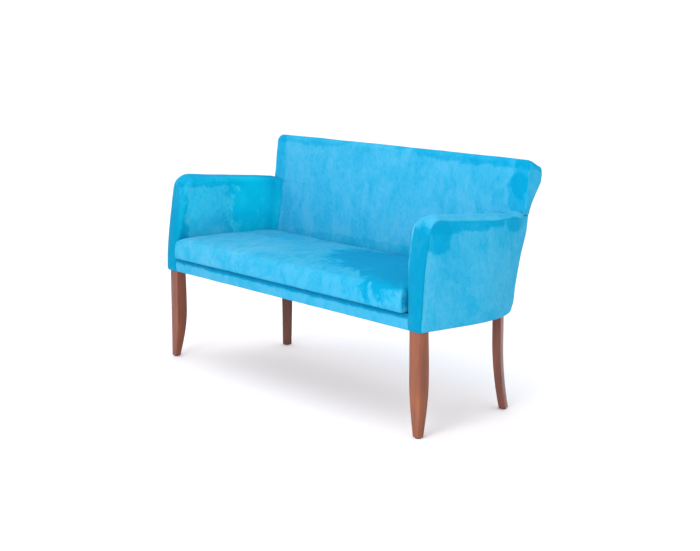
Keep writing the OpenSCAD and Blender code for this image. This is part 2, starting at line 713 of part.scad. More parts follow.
// Outside of the back, from hem to crest, round both rear corners.
seam_gap = 0.003;
low_path = [seam_s + seam_gap, 2.3, 2.45, 2.6, 2.8, 3, 3.3, 3.65, 4];
wing_path = [0, 0.33, 0.66, 1, 1.33, 1.66, 2, 2.5, 3];
low_z = [for (t = [0.2, 0.45, 0.7, 0.88, 0.975]) mix(hem_h, step_h, t)];
wing_z = [0, 0.15, 0.35, 0.55, 0.78, 1];
function crest_end(x, y) = max(roll_z, crest_at(y) - cover_t) - corner_drop(x, y) - fit;
function wing_top(s) = let (p = wing_pt(s, roll_z, 0)) crest_end(p[0], p[1]);
function both_sides(row) = concat(
    row,
    [for (i = [len(row) - 2:-1:0]) [-row[i][0], row[i][1], row[i][2]]]);
module outside_back_cover() {
    rows = [for (d = [0, cover_t]) [for (row = concat(
        [for (h = hem_rows) [for (s = low_path) tub_pt(s, hem_h + h[0], d + hem_tuck * h[1])]],
        [for (z = low_z) [for (s = low_path) tub_pt(s, z, d)]],
        [for (t = wing_z) [for (s = wing_path) wing_pt(s, mix(step_h, wing_top(s), t), d)]]))
        both_sides(row)]];
    color(fabric_shade)
    centred()
    sheet(rows[0], rows[1]);
}

// Face of the back, over the crest to the seam with the outside.
face_cols = [1, 0.985, 0.96, 0.9, 0.75, 0.5, 0.25, 0];
face_low = seat_base_h + 3 * cover_t;
step_lip = 4;
face_z = concat(
    [for (t = [0, 0.2, 0.45, 0.72, 0.9]) mix(face_low, step_h, t)],
    [step_h - step_lip],
    [for (t = [0, 0.24, 0.5, 0.73, 0.9]) mix(step_h, crest_z, t)]);
function face_half(z) = z < step_h ?
    min(arm_in_x(z) - 1, outer_x(face_y(z) + cover_t, z, 2 * cover_t)) : back_half_w;
function face_profile(d) = concat(
    [for (z = face_z) [face_y(z) + d, z]],
    [for (a = [0:30:90]) [crest_y - (crest_r - d) * cos(a), crest_z + (crest_r - d) * sin(a)]],
    [for (a = [30:30:90]) [crest_y + (roll_a - d) * sin(a), roll_z + (crest_roll - d) * cos(a)]]);
function face_pt(p, f) =
    let (x = f * (p[1] < roll_z ? face_half(p[1]) : crest_half(p[0])),
         near_top = limit((p[1] - back_h + 3 * back_corner_r) / (2 * back_corner_r), 0, 1),
         drop = near_top * corner_drop(x, p[0]),
         swell = back_crown * (1 - pow(min(1, f / 0.9), 4)) * (1 - near_top)
            * sin(180 * limit((p[1] - face_low) / (back_h - face_low), 0, 1)))
    [x, p[0] - swell, p[1] - drop];
module inside_back_cover() {
    rows = [for (d = [0, cover_t]) [for (p = face_profile(d))
        both_sides([for (f = face_cols) face_pt(p, f)])]];
    color(fabric)
    centred()
    sheet(rows[1], rows[0]);
}

// Back frame, raked with the outside of the back, and the board behind it.
module raked(depth) {
    translate([0, tub_d - depth / cos(rear_rake), hem_h])
    rotate([90 - rear_rake, 0, 0])
    children();
}
function up(z) = (z - hem_h) / cos(rear_rake);
stile_x1 = side_rail_x - fit;
stile_x0 = stile_x1 - stile_w;
stile_z0 = rail_z1 + stile_t * tan(rear_rake);
frame_top = roll_z - cover_t - 2 * fit;
wing_x = back_half_w - 2 * back_corner_r + board_in;
module back_stile(side) {
    color(beech)
    on_side(side)
    raked(board_in)
    linear_extrude(stile_t)
    polygon([
        [stile_x0, up(stile_z0)],
        [stile_x1, up(stile_z0)],
        [stile_x1, up(step_h)],
        [back_half_w - wing_low_r, up(step_h + stile_w / 4)],
        [wing_x, up(frame_top - stile_w)],
        [wing_x, up(frame_top - back_corner_r)],
        [wing_x - back_corner_r, up(frame_top)],
        [stile_x0, up(frame_top)]]);
}
mid_stile_w = stile_w;
bottom_rail_z = stile_z0 + stile_w / 5;
module back_rail_between(z0, z1) {
    color(beech)
    centred()
    raked(board_in)
    linear_extrude(stile_t)
    polygon([[-stile_x0, up(z0)], [stile_x0, up(z0)], [stile_x0, up(z1)], [-stile_x0, up(z1)]]);
}
module back_top_rail() {
    back_rail_between(frame_top - stile_w, frame_top);
}
module back_bottom_rail() {
    back_rail_between(bottom_rail_z, bottom_rail_z + stile_w);
}
module back_middle_stile() {
    color(beech)
    centred()
    raked(board_in)
    linear_extrude(stile_t)
    polygon([
        [-mid_stile_w / 2, up(bottom_rail_z + stile_w)],
        [mid_stile_w / 2, up(bottom_rail_z + stile_w)],
        [mid_stile_w / 2, up(frame_top - stile_w)],
        [-mid_stile_w / 2, up(frame_top - stile_w)]]);
}
web_bands = 4;
module back_webbing() {
    z0 = bottom_rail_z + stile_w;
    pitch = (frame_top - stile_w - z0) / web_bands;
    color(web_tint)
    centred()
    raked(board_in + stile_t + fit)
    for (i = [0:web_bands - 1])
        linear_extrude(web_t)
        translate([0, up(z0 + (i + 0.5) * pitch)])
        square([2 * (stile_x0 + stile_w / 2), web_w], center = true);
}
foam_half = arm_in_x(arm_h) - cove_r;
module back_foam() {
    behind = (board_in + stile_t + web_t + 2 * fit) / cos(rear_rake);
    z0 = face_low + 2;
    z1 = frame_top;
    color(foam_tint)
    centred()
    translate([-foam_half, 0, 0])
    rotate([90, 0, 90])
    linear_extrude(2 * foam_half)
    polygon([
        [face_y(z0) + foam_in, z0],
        [rear_y(z0) - behind, z0],
        [rear_y(z1) - behind, z1],
        [face_y(z1) + foam_in, z1]]);
}
rear_board_low = tub_pt(3.03, rail_z0, 0)[0] - fit;
rear_board_mid = tub_pt(3.03, step_h, 0)[0] - fit;
module rear_board() {
    half = [
        [rear_board_low, up(rail_z0)],
        [rear_board_mid, up(step_h)],
        [back_half_w - wing_r(step_h), up(step_h + 2)],
        [back_half_w - wing_r(frame_top), up(frame_top)]];
    color(plywood)
    centred()
    raked(cover_t + fit)
    linear_extrude(board_t)
    polygon(concat(half, [for (i = [len(half) - 1:-1:0]) [-half[i][0], half[i][1]]]));
}

// Seat pad: boxed, with a rounded top edge, a front drawn in between its corners and a crown.
seat_half = arm_in_x(seat_base_h + seat_side_h) - seat_gap;
seat_y0 = -seat_proud;
seat_y1 = face_y(seat_base_h) - back_crown - seat_gap;
seat_edge_r = 18;
seat_rear_r = cove_r + 2 * seat_gap;
seat_bottom_in = 5;
seat_turn_r = 10;
crown_in = (seat_y1 - seat_y0) / 2 - 1.2 * seat_turn_r;
corner_steps = 5;
span_steps = 8;
function seat_corner(cx, cy, r, a0) =
    [for (i = [0:corner_steps]) let (a = a0 + 90 * i / corner_steps) [cx + r * cos(a), cy + r * sin(a)]];
function seat_span(p, q) =
    [for (i = [1:span_steps - 1]) [mix(p[0], q[0], i / span_steps), mix(p[1], q[1], i / span_steps)]];
function seat_outline(e) =
    let (x = seat_half - e, y0 = seat_y0 + e, y1 = seat_y1 - e,
         rf = max(seat_turn_r, seat_front_r - e), rr = max(seat_turn_r, seat_rear_r - e),
         fr = seat_corner(x - rf, y0 + rf, rf, -90), br = seat_corner(x - rr, y1 - rr, rr, 0),
         bl = seat_corner(-x + rr, y1 - rr, rr, 90), fl = seat_corner(-x + rf, y0 + rf, rf, 180))
    concat(fr, br, seat_span(br[corner_steps], bl[0]), bl, fl, seat_span(fl[corner_steps], fr[0]));
seat_mid_y = (seat_y0 + seat_y1) / 2;
function crown_at(x, y, e) = e <= seat_edge_r ? 0 :
    seat_crown * sqrt(max(0,
        (1 - pow(abs(x) / (seat_half - seat_edge_r), 6))
        * (1 - pow((y - seat_mid_y) / (seat_y1 - seat_mid_y - seat_edge_r), 2))));
function seat_ring(e, h) =
    let (draw = seat_draw * max(0, 1 - e / (1.5 * seat_edge_r)))
    [for (p = seat_outline(e)) [
        p[0],
        p[1] + (p[1] < seat_mid_y ? draw * cos(90 * p[0] / seat_half) : 0),
        seat_base_h + h + crown_at(p[0], p[1], e)]];
function seat_top_rings(d) = concat(
    [for (a = [0, 30, 60, 90]) seat_ring(
        seat_edge_r - (seat_edge_r - d) * cos(a),
        seat_side_h - seat_edge_r + (seat_edge_r - d) * sin(a))],
    [for (t = [0.08, 0.2, 0.4, 0.7, 1]) seat_ring(mix(seat_edge_r, crown_in, t), seat_side_h - d)]);
function ring_faces(rings, n) = [
    for (i = [0:rings - 2], j = [0:n - 1])
        let (a = i * n + j, b = i * n + (j + 1) % n) each [[a, a + n, b + n], [a, b + n, b]]];
// Triangles across the last ring, between its front and its rear.
function top_faces(base, n) = [
    for (k = [0:n / 2 - 2])
        let (a = base + (corner_steps - k + n) % n, a2 = base + (corner_steps - k - 1 + n) % n,
             b = base + corner_steps + 1 + k)
        each [[a, a2, b + 1], [a, b + 1, b]]];
module seat_cover() {
    skins = [for (d = [0, cover_t]) concat(
        [for (t = [0, 1, 2]) seat_ring(d + seat_bottom_in * [1, 0.2, 0][t], seat_bottom_in * t)],
        seat_top_rings(d))];
    rings = len(skins[0]);
    n = len(skins[0][0]);
    color(fabric)
    centred()
    thick(
        flat_list(skins[0]),
        flat_list(skins[1]),
        concat(ring_faces(rings, n), top_faces((rings - 1) * n, n)),
        [for (j = [n - 1:-1:0]) j]);
}
module seat_foam() {
    d = foam_in;
    rows = concat([seat_ring(d, seat_ply_t + fit)], seat_top_rings(d));
    n = len(rows[0]);
    color(foam_tint)
    centred()
    polyhedron(
        points = flat_list(rows),
        faces = concat(
            ring_faces(len(rows), n),
            top_faces((len(rows) - 1) * n, n),
            [[for (j = [0:n - 1]) j]]),
        convexity = 4);
}
seat_screw_l = rail_h + seat_ply_t - 3;
module at_seat_screws() {
    for (x = [-cross_x, cross_x], t = cross_spots)
        translate([x, cross_y(t), rail_z0]) children();
}
module seat_base() {
    color(plywood)
    centred()
    difference() {
        translate([0, 0, seat_base_h])
        linear_extrude(seat_ply_t)
        polygon([for (p = seat_outline(seat_bottom_in + foam_in)) [p[0], p[1] + seat_draw / 2]]);
        at_seat_screws() cylinder(d = screw_d, h = rail_h + 2 * seat_ply_t, $fn = 24);
    }
}
module seat_screws() {
    color(steel)
    centred()
    at_seat_screws() {
        cylinder(d = screw_d, h = seat_screw_l, $fn = 24);
        translate([0, 0, -screw_d / 2]) cylinder(d = 2 * screw_d, h = screw_d / 2, $fn = 24);
    }
}

// Padded cover of the front rail, wrapped over its top and under its bottom, with a soft bulge.
apron_wrap = 20;
apron_bulge = 2;
apron_steps = 8;
function apron_skin(d) =
    let (z0 = hem_h + d, z1 = rail_z1 - d, y = apron_y + d)
    concat(
        [[apron_wrap, z0]],
        [for (i = [0:apron_steps]) let (t = i / apron_steps)
            [y - apron_bulge * sin(180 * t), mix(z0, z1, t)]],
        [[apron_wrap, z1]]);
module apron_cover() {
    half = arm_in_x(hem_h) - fit;
    skin = apron_skin(0);
    back = apron_skin(cover_t);
    color(fabric)
    centred()
    translate([-half, 0, 0])
    rotate([90, 0, 90])
    linear_extrude(2 * half)
    polygon(concat(skin, [for (i = [len(back) - 1:-1:0]) back[i]]));
}

// Thin cloth under the seat frame, cut round the legs.
dust_t = 1.5;
dust_in = board_in + 8;
module dust_cover() {
    half = concat(
        [[leg_in_x - 1, apron_wrap + 2], [leg_in_x - 1, leg_d + leg_swell + 2]],
        [for (s = rail_path) plan(s, rail_z0, dust_in, leg_d + leg_swell + 2 + arm_proud)]);
    color(nylon)
    centred()
    difference() {
        translate([0, 0, rail_z0 - dust_t])
        linear_extrude(dust_t)
        polygon(concat(half, [for (i = [len(half) - 1:-1:0]) [-half[i][0], half[i][1]]]));
        for (x = [-rear_leg_x, rear_leg_x])
            translate([x, rear_leg_y, rail_z0 - 2 * dust_t])
            cylinder(d = neck_b + neck_t, h = 4 * dust_t, $fn = 48);
        for (x = [-cross_x, cross_x], t = cross_spots)
            translate([x, cross_y(t), rail_z0 - 2 * dust_t])
            cylinder(d = 3 * screw_d, h = 4 * dust_t, $fn = 32);
    }
}

front_leg(-1);  // front_leg_left
front_leg(1);  // front_leg_right
back_leg(-1);  // back_leg_left
back_leg(1);  // back_leg_right
leg_glides();
glide_pins();
front_seat_rail();
back_seat_rail();
side_seat_rail(-1);  // side_seat_rail_left
side_seat_rail(1);  // side_seat_rail_right
cross_rails();
corner_blocks();
corner_block_screws();
back_leg_bolts();
seat_base();
seat_screws();
seat_foam();
seat_cover();
apron_cover();
dust_cover();
arm_rail(-1);  // arm_rail_left
arm_rail(1);  // arm_rail_right
side_board(-1);  // side_board_left
side_board(1);  // side_board_right
arm_lining(-1);  // arm_lining_left
arm_lining(1);  // arm_lining_right
arm_side_foam(-1);  // arm_side_foam_left
arm_side_foam(1);  // arm_side_foam_right
arm_top_foam(-1);  // arm_top_foam_left
arm_top_foam(1);  // arm_top_foam_right
inside_arm_cover(-1);  // inside_arm_cover_left
inside_arm_cover(1);  // inside_arm_cover_right
outside_arm_cover(-1);  // outside_arm_cover_left
outside_arm_cover(1);  // outside_arm_cover_right
back_stile(-1);  // back_stile_left
back_stile(1);  // back_stile_right
back_middle_stile();
back_top_rail();
back_bottom_rail();
back_webbing();
back_foam();
inside_back_cover();
rear_board();
outside_back_cover();
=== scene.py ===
"""Dressed scene of an upholstered two-seater sofa with padded tub arms and sabre legs.

Lengths in the shape code are millimetres, with Y worked out from the front faces of the front legs, as
in the part's source. place() turns them into metres in the row frame.
"""
import math

import bmesh
import bpy
import numpy as np
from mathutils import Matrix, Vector, noise
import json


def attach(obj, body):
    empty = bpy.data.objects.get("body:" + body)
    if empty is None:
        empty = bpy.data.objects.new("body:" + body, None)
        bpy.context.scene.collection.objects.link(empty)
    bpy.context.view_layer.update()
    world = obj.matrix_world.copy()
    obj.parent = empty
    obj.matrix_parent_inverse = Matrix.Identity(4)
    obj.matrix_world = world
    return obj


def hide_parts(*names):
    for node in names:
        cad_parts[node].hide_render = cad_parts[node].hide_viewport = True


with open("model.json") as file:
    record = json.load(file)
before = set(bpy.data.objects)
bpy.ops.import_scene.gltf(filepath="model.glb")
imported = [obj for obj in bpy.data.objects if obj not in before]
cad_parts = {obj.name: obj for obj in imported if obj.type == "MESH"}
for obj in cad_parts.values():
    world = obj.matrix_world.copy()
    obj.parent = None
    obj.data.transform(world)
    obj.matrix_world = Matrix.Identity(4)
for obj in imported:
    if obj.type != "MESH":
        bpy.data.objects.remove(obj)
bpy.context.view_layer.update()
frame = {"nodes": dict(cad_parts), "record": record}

# Sizes, as in the part's source.
HALF_W, HEM_H, ARM_H, BACK_H, TUB_D = 745.0, 335.0, 693.0, 832.0, 486.0
FRONT_RAKE, SIDE_RAKE, REAR_RAKE, FACE_RAKE = 6.5, 12.4, 8.1, 5.4
SIDE_START, SIDE_R, CORNER_R, CORNER_TOP_R = 200.0, 440.0, 145.0, 80.0
ARM_HEM_T, ARM_TOP_T, ARM_SLOPE_H, ARM_PROUD, ARM_FALL = 64.0, 84.0, 150.0, 8.0, 4.4
NOSE_R, EDGE_R, IN_R, COVE_R = 45.0, 11.0, 18.0, 30.0
BACK_HALF, BACK_T, CREST_R, CREST_ROLL = 702.0, 52.0, 16.0, 36.0
CORNER_F, CORNER_B, STEP_H, WING_LOW_R, WING_TURN, BACK_CROWN = 26.0, 14.0, 664.0, 92.0, 94.0, 5.0
SEAT_Z, SEAT_SIDE, SEAT_CROWN, SEAT_PROUD, SEAT_GAP = 388.0, 71.0, 16.0, 21.0, 1.0
SEAT_FRONT_R, SEAT_DRAW, SEAT_EDGE_R = 10.0, 3.0, 18.0
LEG_W, LEG_D, LEG_SWELL, LEG_FOOT_W, LEG_FOOT_D, LEG_TAPER, LEG_INSET = 48.0, 39.0, 3.0, 28.0, 20.0, 190.0, 12.0
REAR_X, REAR_Y, REAR_B, REAR_T, REAR_TAPER, REAR_SWEEP, REAR_TURN, REAR_BEND = (
    603.0, 452.0, 29.0, 41.0, 0.82, 24.0, 32.0, 235.0)
GLIDE_H, FIT, COVER_T, SEAM_S = 3.0, 0.3, 3.0, 2.18
MM = 0.001

# Each side of the sofa, and whether it is the mirrored one.
SIDES = (("left", True), ("right", False))
WELD = 0.05
LINING_T, APRON_LINING_T = 2.4, 2.0
END_DROP, END_DROP_X, END_DROP_RUN = 9, 560, 110


def tan(a):
    return math.tan(math.radians(a))


def sin(a):
    return math.sin(math.radians(a))


def cos(a):
    return math.cos(math.radians(a))


def mix(a, b, t):
    return a + (b - a) * t


def limit(v, lo=0.0, hi=1.0):
    return min(max(v, lo), hi)


def ease(t):
    t = limit(t)
    return t * t * (3 - 2 * t)


def roll(e, r):
    """Depth lost by an edge of radius r, at a distance e in from it."""
    return 0.0 if e >= r else r - math.sqrt(max(0.0, r * r - (r - max(e, 0.0)) ** 2))


def front_y(z):
    return -ARM_PROUD + (z - HEM_H) * tan(FRONT_RAKE)


def rear_y(z):
    return TUB_D + (z - HEM_H) * tan(REAR_RAKE)


def face_y(z):
    return TUB_D - BACK_T + (z - HEM_H) * tan(FACE_RAKE)


CREST_Z = BACK_H - CREST_R
CREST_Y = face_y(CREST_Z) + CREST_R
ROLL_Z = BACK_H - CREST_ROLL
ROLL_A = rear_y(ROLL_Z) - CREST_Y
REAR_MOST = rear_y(ROLL_Z)
MID_Y = (-SEAT_PROUD + REAR_MOST) / 2


def side_y(z):
    return SIDE_START + (z - HEM_H) * tan(SIDE_RAKE)


def rear_r(z):
    return mix(CORNER_R, CORNER_TOP_R, (z - HEM_H) / (ARM_H - HEM_H))


def corner_y(z):
    return rear_y(z) - rear_r(z)


def corner_x(z):
    return HALF_W - SIDE_R + math.sqrt((SIDE_R - rear_r(z)) ** 2 - (corner_y(z) - side_y(z)) ** 2)


def turn(z):
    return math.degrees(math.asin((corner_y(z) - side_y(z)) / (SIDE_R - rear_r(z))))


def tub_pt(s, z, d=0.0, start=0.0):
    """Outline of the tub: 0 front, 1 end of the straight, 2 end of the long curve, 3 rear, 4 middle."""
    if s <= 1:
        return (HALF_W - d, mix(front_y(z) + start, side_y(z), s), z)
    if s <= 2:
        a = (s - 1) * turn(z)
        return (HALF_W - SIDE_R + (SIDE_R - d) * cos(a), side_y(z) + (SIDE_R - d) * sin(a), z)
    if s <= 3:
        a = mix(turn(z), 90, s - 2)
        return (corner_x(z) + (rear_r(z) - d) * cos(a), corner_y(z) + (rear_r(z) - d) * sin(a), z)
    return (corner_x(z) * (4 - s), rear_y(z) - d, z)


def outer_x(y, z):
    if y <= side_y(z):
        return HALF_W
    if y <= side_y(z) + SIDE_R * sin(turn(z)):
        return HALF_W - SIDE_R + math.sqrt(SIDE_R ** 2 - (y - side_y(z)) ** 2)
    return corner_x(z) + math.sqrt(max(0.0, rear_r(z) ** 2 - (y - corner_y(z)) ** 2))


def wing_r(z):
    return limit(mix(WING_LOW_R, CREST_R, (z - STEP_H) / WING_TURN), CREST_R, WING_LOW_R)


def wing_pt(s, z, d=0.0):
    """Outline of the back above the arms: side and rear corner (0 to 2), rear face (to 3)."""
    r = wing_r(z)
    y0, cy = face_y(z) + COVER_T + FIT, rear_y(z) - r
    a0 = math.degrees(math.asin(limit((y0 - cy) / r)))
    cx = BACK_HALF - r * cos(a0)
    if s > 2:
        return (cx * (3 - s), rear_y(z) - d, z)
    side = max(0.0, cy - y0)
    t = s / 2 * (side + r * math.radians(90 - a0))
    if t < side:
        return (BACK_HALF - d, y0 + t, z)
    a = a0 + math.degrees((t - side) / r)
    return (cx + (r - d) * cos(a), cy + (r - d) * sin(a), z)


def arm_z(y):
    return ARM_H - (y + ARM_PROUD) * tan(ARM_FALL)


def arm_in_x(z):
    return HALF_W - mix(ARM_HEM_T, ARM_TOP_T, limit((z - SEAT_Z) / ARM_SLOPE_H))


def crest_at(y):
    if y <= CREST_Y:
        return CREST_Z + math.sqrt(max(0.0, CREST_R ** 2 - (CREST_Y - y) ** 2))
    return ROLL_Z + CREST_ROLL * math.sqrt(max(0.0, 1 - ((y - CREST_Y) / ROLL_A) ** 2))


def crest_half(y):
    return BACK_HALF - roll(max(0.0, REAR_MOST - y), CREST_R)


def corner_drop(x, y):
    r = mix(CORNER_F, CORNER_B, limit((y - CREST_Y) / ROLL_A))
    return roll(max(0.0, crest_half(y) - abs(x)), r)


def end_drop(x, y):
    """How far the padding of the crest falls away at its ends, behind the front edge."""
    along = math.sin(math.pi * limit((y - CREST_Y) / ROLL_A) ** 1.6)
    return END_DROP * along * ease((abs(x) - END_DROP_X) / END_DROP_RUN)


# Mesh helpers.
def place(points):
    p = np.array(points, float)
    p[..., 1] -= MID_Y
    return p * MM


def in_source(c):
    """A point of the row frame in the source's own millimetres."""
    return c[0] / MM, c[1] / MM + MID_Y, c[2] / MM


def points_of(mesh):
    co = np.empty(len(mesh.vertices) * 3)
    mesh.vertices.foreach_get("co", co)
    return co.reshape(-1, 3)


def set_points(mesh, co):
    mesh.vertices.foreach_set("co", co.ravel())
    mesh.update()


def smooth(mesh):
    mesh.polygons.foreach_set("use_smooth", [True] * len(mesh.polygons))


def split_caps(bm):
    bmesh.ops.triangulate(bm, faces=[f for f in bm.faces if len(f.verts) > 4])


def close_ends(obj, split=False):
    """Fills the open ends of a piece. split turns its caps into smooth triangles."""
    bm = bmesh.new()
    bm.from_mesh(obj.data)
    bmesh.ops.holes_fill(bm, edges=[e for e in bm.edges if e.is_boundary], sides=0)
    if split:
        split_caps(bm)
    bm.to_mesh(obj.data)
    bm.free()
    if split:
        smooth(obj.data)


def arc(cx, cy, r, a0, n):
    """Points of a quarter turn that starts at the angle a0."""
    return [(cx + r * cos(a0 + 90 * i / n), cy + r * sin(a0 + 90 * i / n)) for i in range(n + 1)]


def surface(name, grids, material, flip=False, mirror=False):
    """One smooth mesh out of grids of millimetre points, stitched where they touch."""
    verts, faces = [], []
    for g in grids:
        g = place(g)
        if mirror:
            g[..., 0] *= -1
        rows, cols = g.shape[:2]
        base = len(verts)
        verts += [tuple(v) for v in g.reshape(-1, 3)]
        for i in range(rows - 1):
            for j in range(cols - 1):
                a = base + i * cols + j
                f = (a, a + 1, a + cols + 1, a + cols)
                faces.append(f if flip == mirror else f[::-1])
    mesh = bpy.data.meshes.new(name)
    mesh.from_pydata(verts, [], faces)
    bm = bmesh.new()
    bm.from_mesh(mesh)
    bmesh.ops.remove_doubles(bm, verts=bm.verts, dist=WELD * MM)
    bmesh.ops.dissolve_degenerate(bm, dist=1e-6, edges=bm.edges)
    bm.to_mesh(mesh)
    bm.free()
    smooth(mesh)
    obj = bpy.data.objects.new(name, mesh)
    bpy.context.scene.collection.objects.link(obj)
    obj.data.materials.append(material)
    return obj


def dress(obj, move):
    """Moves each point by a rule worked out in the source's own millimetres."""
    for v in obj.data.vertices:
        v.co = Vector(place(move(*in_source(v.co))))
    obj.data.update()


def relief(obj, height):
    """Moves each point along its normal by height(x, y, z) millimetres, taken in the source's own Y."""
    co = points_of(obj.data)
    normals = np.empty(co.size)
    obj.data.vertex_normals.foreach_get("vector", normals)
    h = np.array([height(*in_source(p)) for p in co])
    set_points(obj.data, co + normals.reshape(-1, 3) * h[:, None] * MM)


CLOTH_PRESSURE, CLOTH_SLACK, CLOTH_FRAMES = 4.0, 0.012, 20


def settle(obj, hold, cap):
    """Blows a cloth copy of a padded piece up against its held edges, and takes over how its points move.

    hold(x, y, z) is 1 where the cover is fixed, and cap is the longest move in millimetres.
    """
    scene = bpy.context.scene
    trial = bpy.data.objects.new("cloth_trial", obj.data.copy())
    trial.matrix_world = obj.matrix_world
    scene.collection.objects.link(trial)
    bm = bmesh.new()
    bm.from_mesh(trial.data)
    split_caps(bm)
    bm.to_mesh(trial.data)
    bm.free()
    old = points_of(obj.data)
    held = np.array([limit(hold(*in_source(c))) for c in old])
    group = trial.vertex_groups.new(name="held")
    for i, w in enumerate(held):
        if w > 0:
            group.add([i], float(w), "REPLACE")
    cloth = trial.modifiers.new("cloth", "CLOTH")
    s = cloth.settings
    s.quality = 6
    s.mass = 0.4
    s.tension_stiffness = s.compression_stiffness = 25
    s.shear_stiffness = 12
    s.bending_stiffness = 4
    s.air_damping = 4
    s.use_pressure = True
    s.uniform_pressure_force = CLOTH_PRESSURE
    s.shrink_min = -CLOTH_SLACK
    s.vertex_group_mass = "held"
    s.effector_weights.gravity = 0
    cloth.point_cache.frame_start, cloth.point_cache.frame_end = 1, CLOTH_FRAMES
    for frame_number in range(1, CLOTH_FRAMES + 1):
        scene.frame_set(frame_number)
    graph = bpy.context.evaluated_depsgraph_get()
    move = (points_of(trial.evaluated_get(graph).data) - old) / MM
    length = np.linalg.norm(move, axis=1)
    move *= (cap * np.tanh(length / cap) / np.maximum(length, 1e-9))[:, None]
    set_points(obj.data, old + move * (1 - held)[:, None] * MM)
    bpy.data.objects.remove(trial)
    scene.frame_set(1)


def thicken(obj, t=LINING_T):
    """Gives an open cover its thickness, inward."""
    m = obj.modifiers.new("lining", "SOLIDIFY")
    m.thickness, m.offset = t * MM, -1


def soft_noise(x, y, z, size, seed=0.0):
    return noise.noise(Vector((x / size + seed, y / size - seed, z / size + 2 * seed)))


def ride(obj, slot, *nodes):
    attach(obj, "root")
    if nodes:
        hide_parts(*nodes)


# Materials. LAMPS is how much brighter than its base colour a lit cover comes out.
LAMPS = 1.42


class Tree:
    """Short names for the nodes of one material."""

    def __init__(self, name):
        self.material = bpy.data.materials.new(name)
        self.material.use_nodes = True
        self.nodes = self.material.node_tree.nodes
        self.links = self.material.node_tree.links
        self.shader = self.nodes["Principled BSDF"]
        self.where = self.nodes.new("ShaderNodeTexCoord").outputs["Object"]

    def add(self, kind, inputs=(), **values):
        node = self.nodes.new("ShaderNode" + kind)
        for key, v in values.items():
            setattr(node, key, v)
        for key, v in dict(inputs).items():
            if hasattr(v, "is_linked"):
                self.links.new(v, node.inputs[key])
            else:
                node.inputs[key].default_value = v
        return node

    def mapped(self, scale, offset=(0, 0, 0)):
        return self.add("Mapping", {"Vector": self.where, "Scale": scale, "Location": offset}).outputs[0]

    def noise(self, scale, detail=3.0, rough=0.5, distort=0.0, vector=None):
        return self.add("TexNoise", {"Vector": vector or self.where, "Scale": scale, "Detail": detail,
                                     "Roughness": rough, "Distortion": distort}).outputs["Fac"]

    def math(self, op, a, b=0.0, c=0.0):
        return self.add("Math", {0: a, 1: b, 2: c}, operation=op).outputs[0]

    def ramp(self, fac, stops):
        node = self.add("ValToRGB", {"Fac": fac})
        while len(node.color_ramp.elements) < len(stops):
            node.color_ramp.elements.new(0.5)
        for e, (pos, col) in zip(node.color_ramp.elements, stops):
            e.position, e.color = pos, (*col, 1)
        return node.outputs["Color"]

    def spread(self, v, lo, hi, a=0.0, b=1.0):
        return self.add("MapRange", {"Value": v, "From Min": lo, "From Max": hi, "To Min": a, "To Max": b},
                        interpolation_type="SMOOTHSTEP").outputs[0]

    def link(self, out, socket):
        self.links.new(out, self.shader.inputs[socket])

    def bump(self, height, distance, strength, under=None):
        node = self.add("Bump", {"Height": height, "Distance": distance, "Strength": strength})
        if under:
            self.links.new(under, node.inputs["Normal"])
        return node.outputs["Normal"]


def rgb(r, g, b):
    """An 8-bit screen colour as linear values."""
    return tuple((c / 255 / 12.92) if c <= 10 else ((c / 255 + 0.055) / 1.055) ** 2.4 for c in (r, g, b))


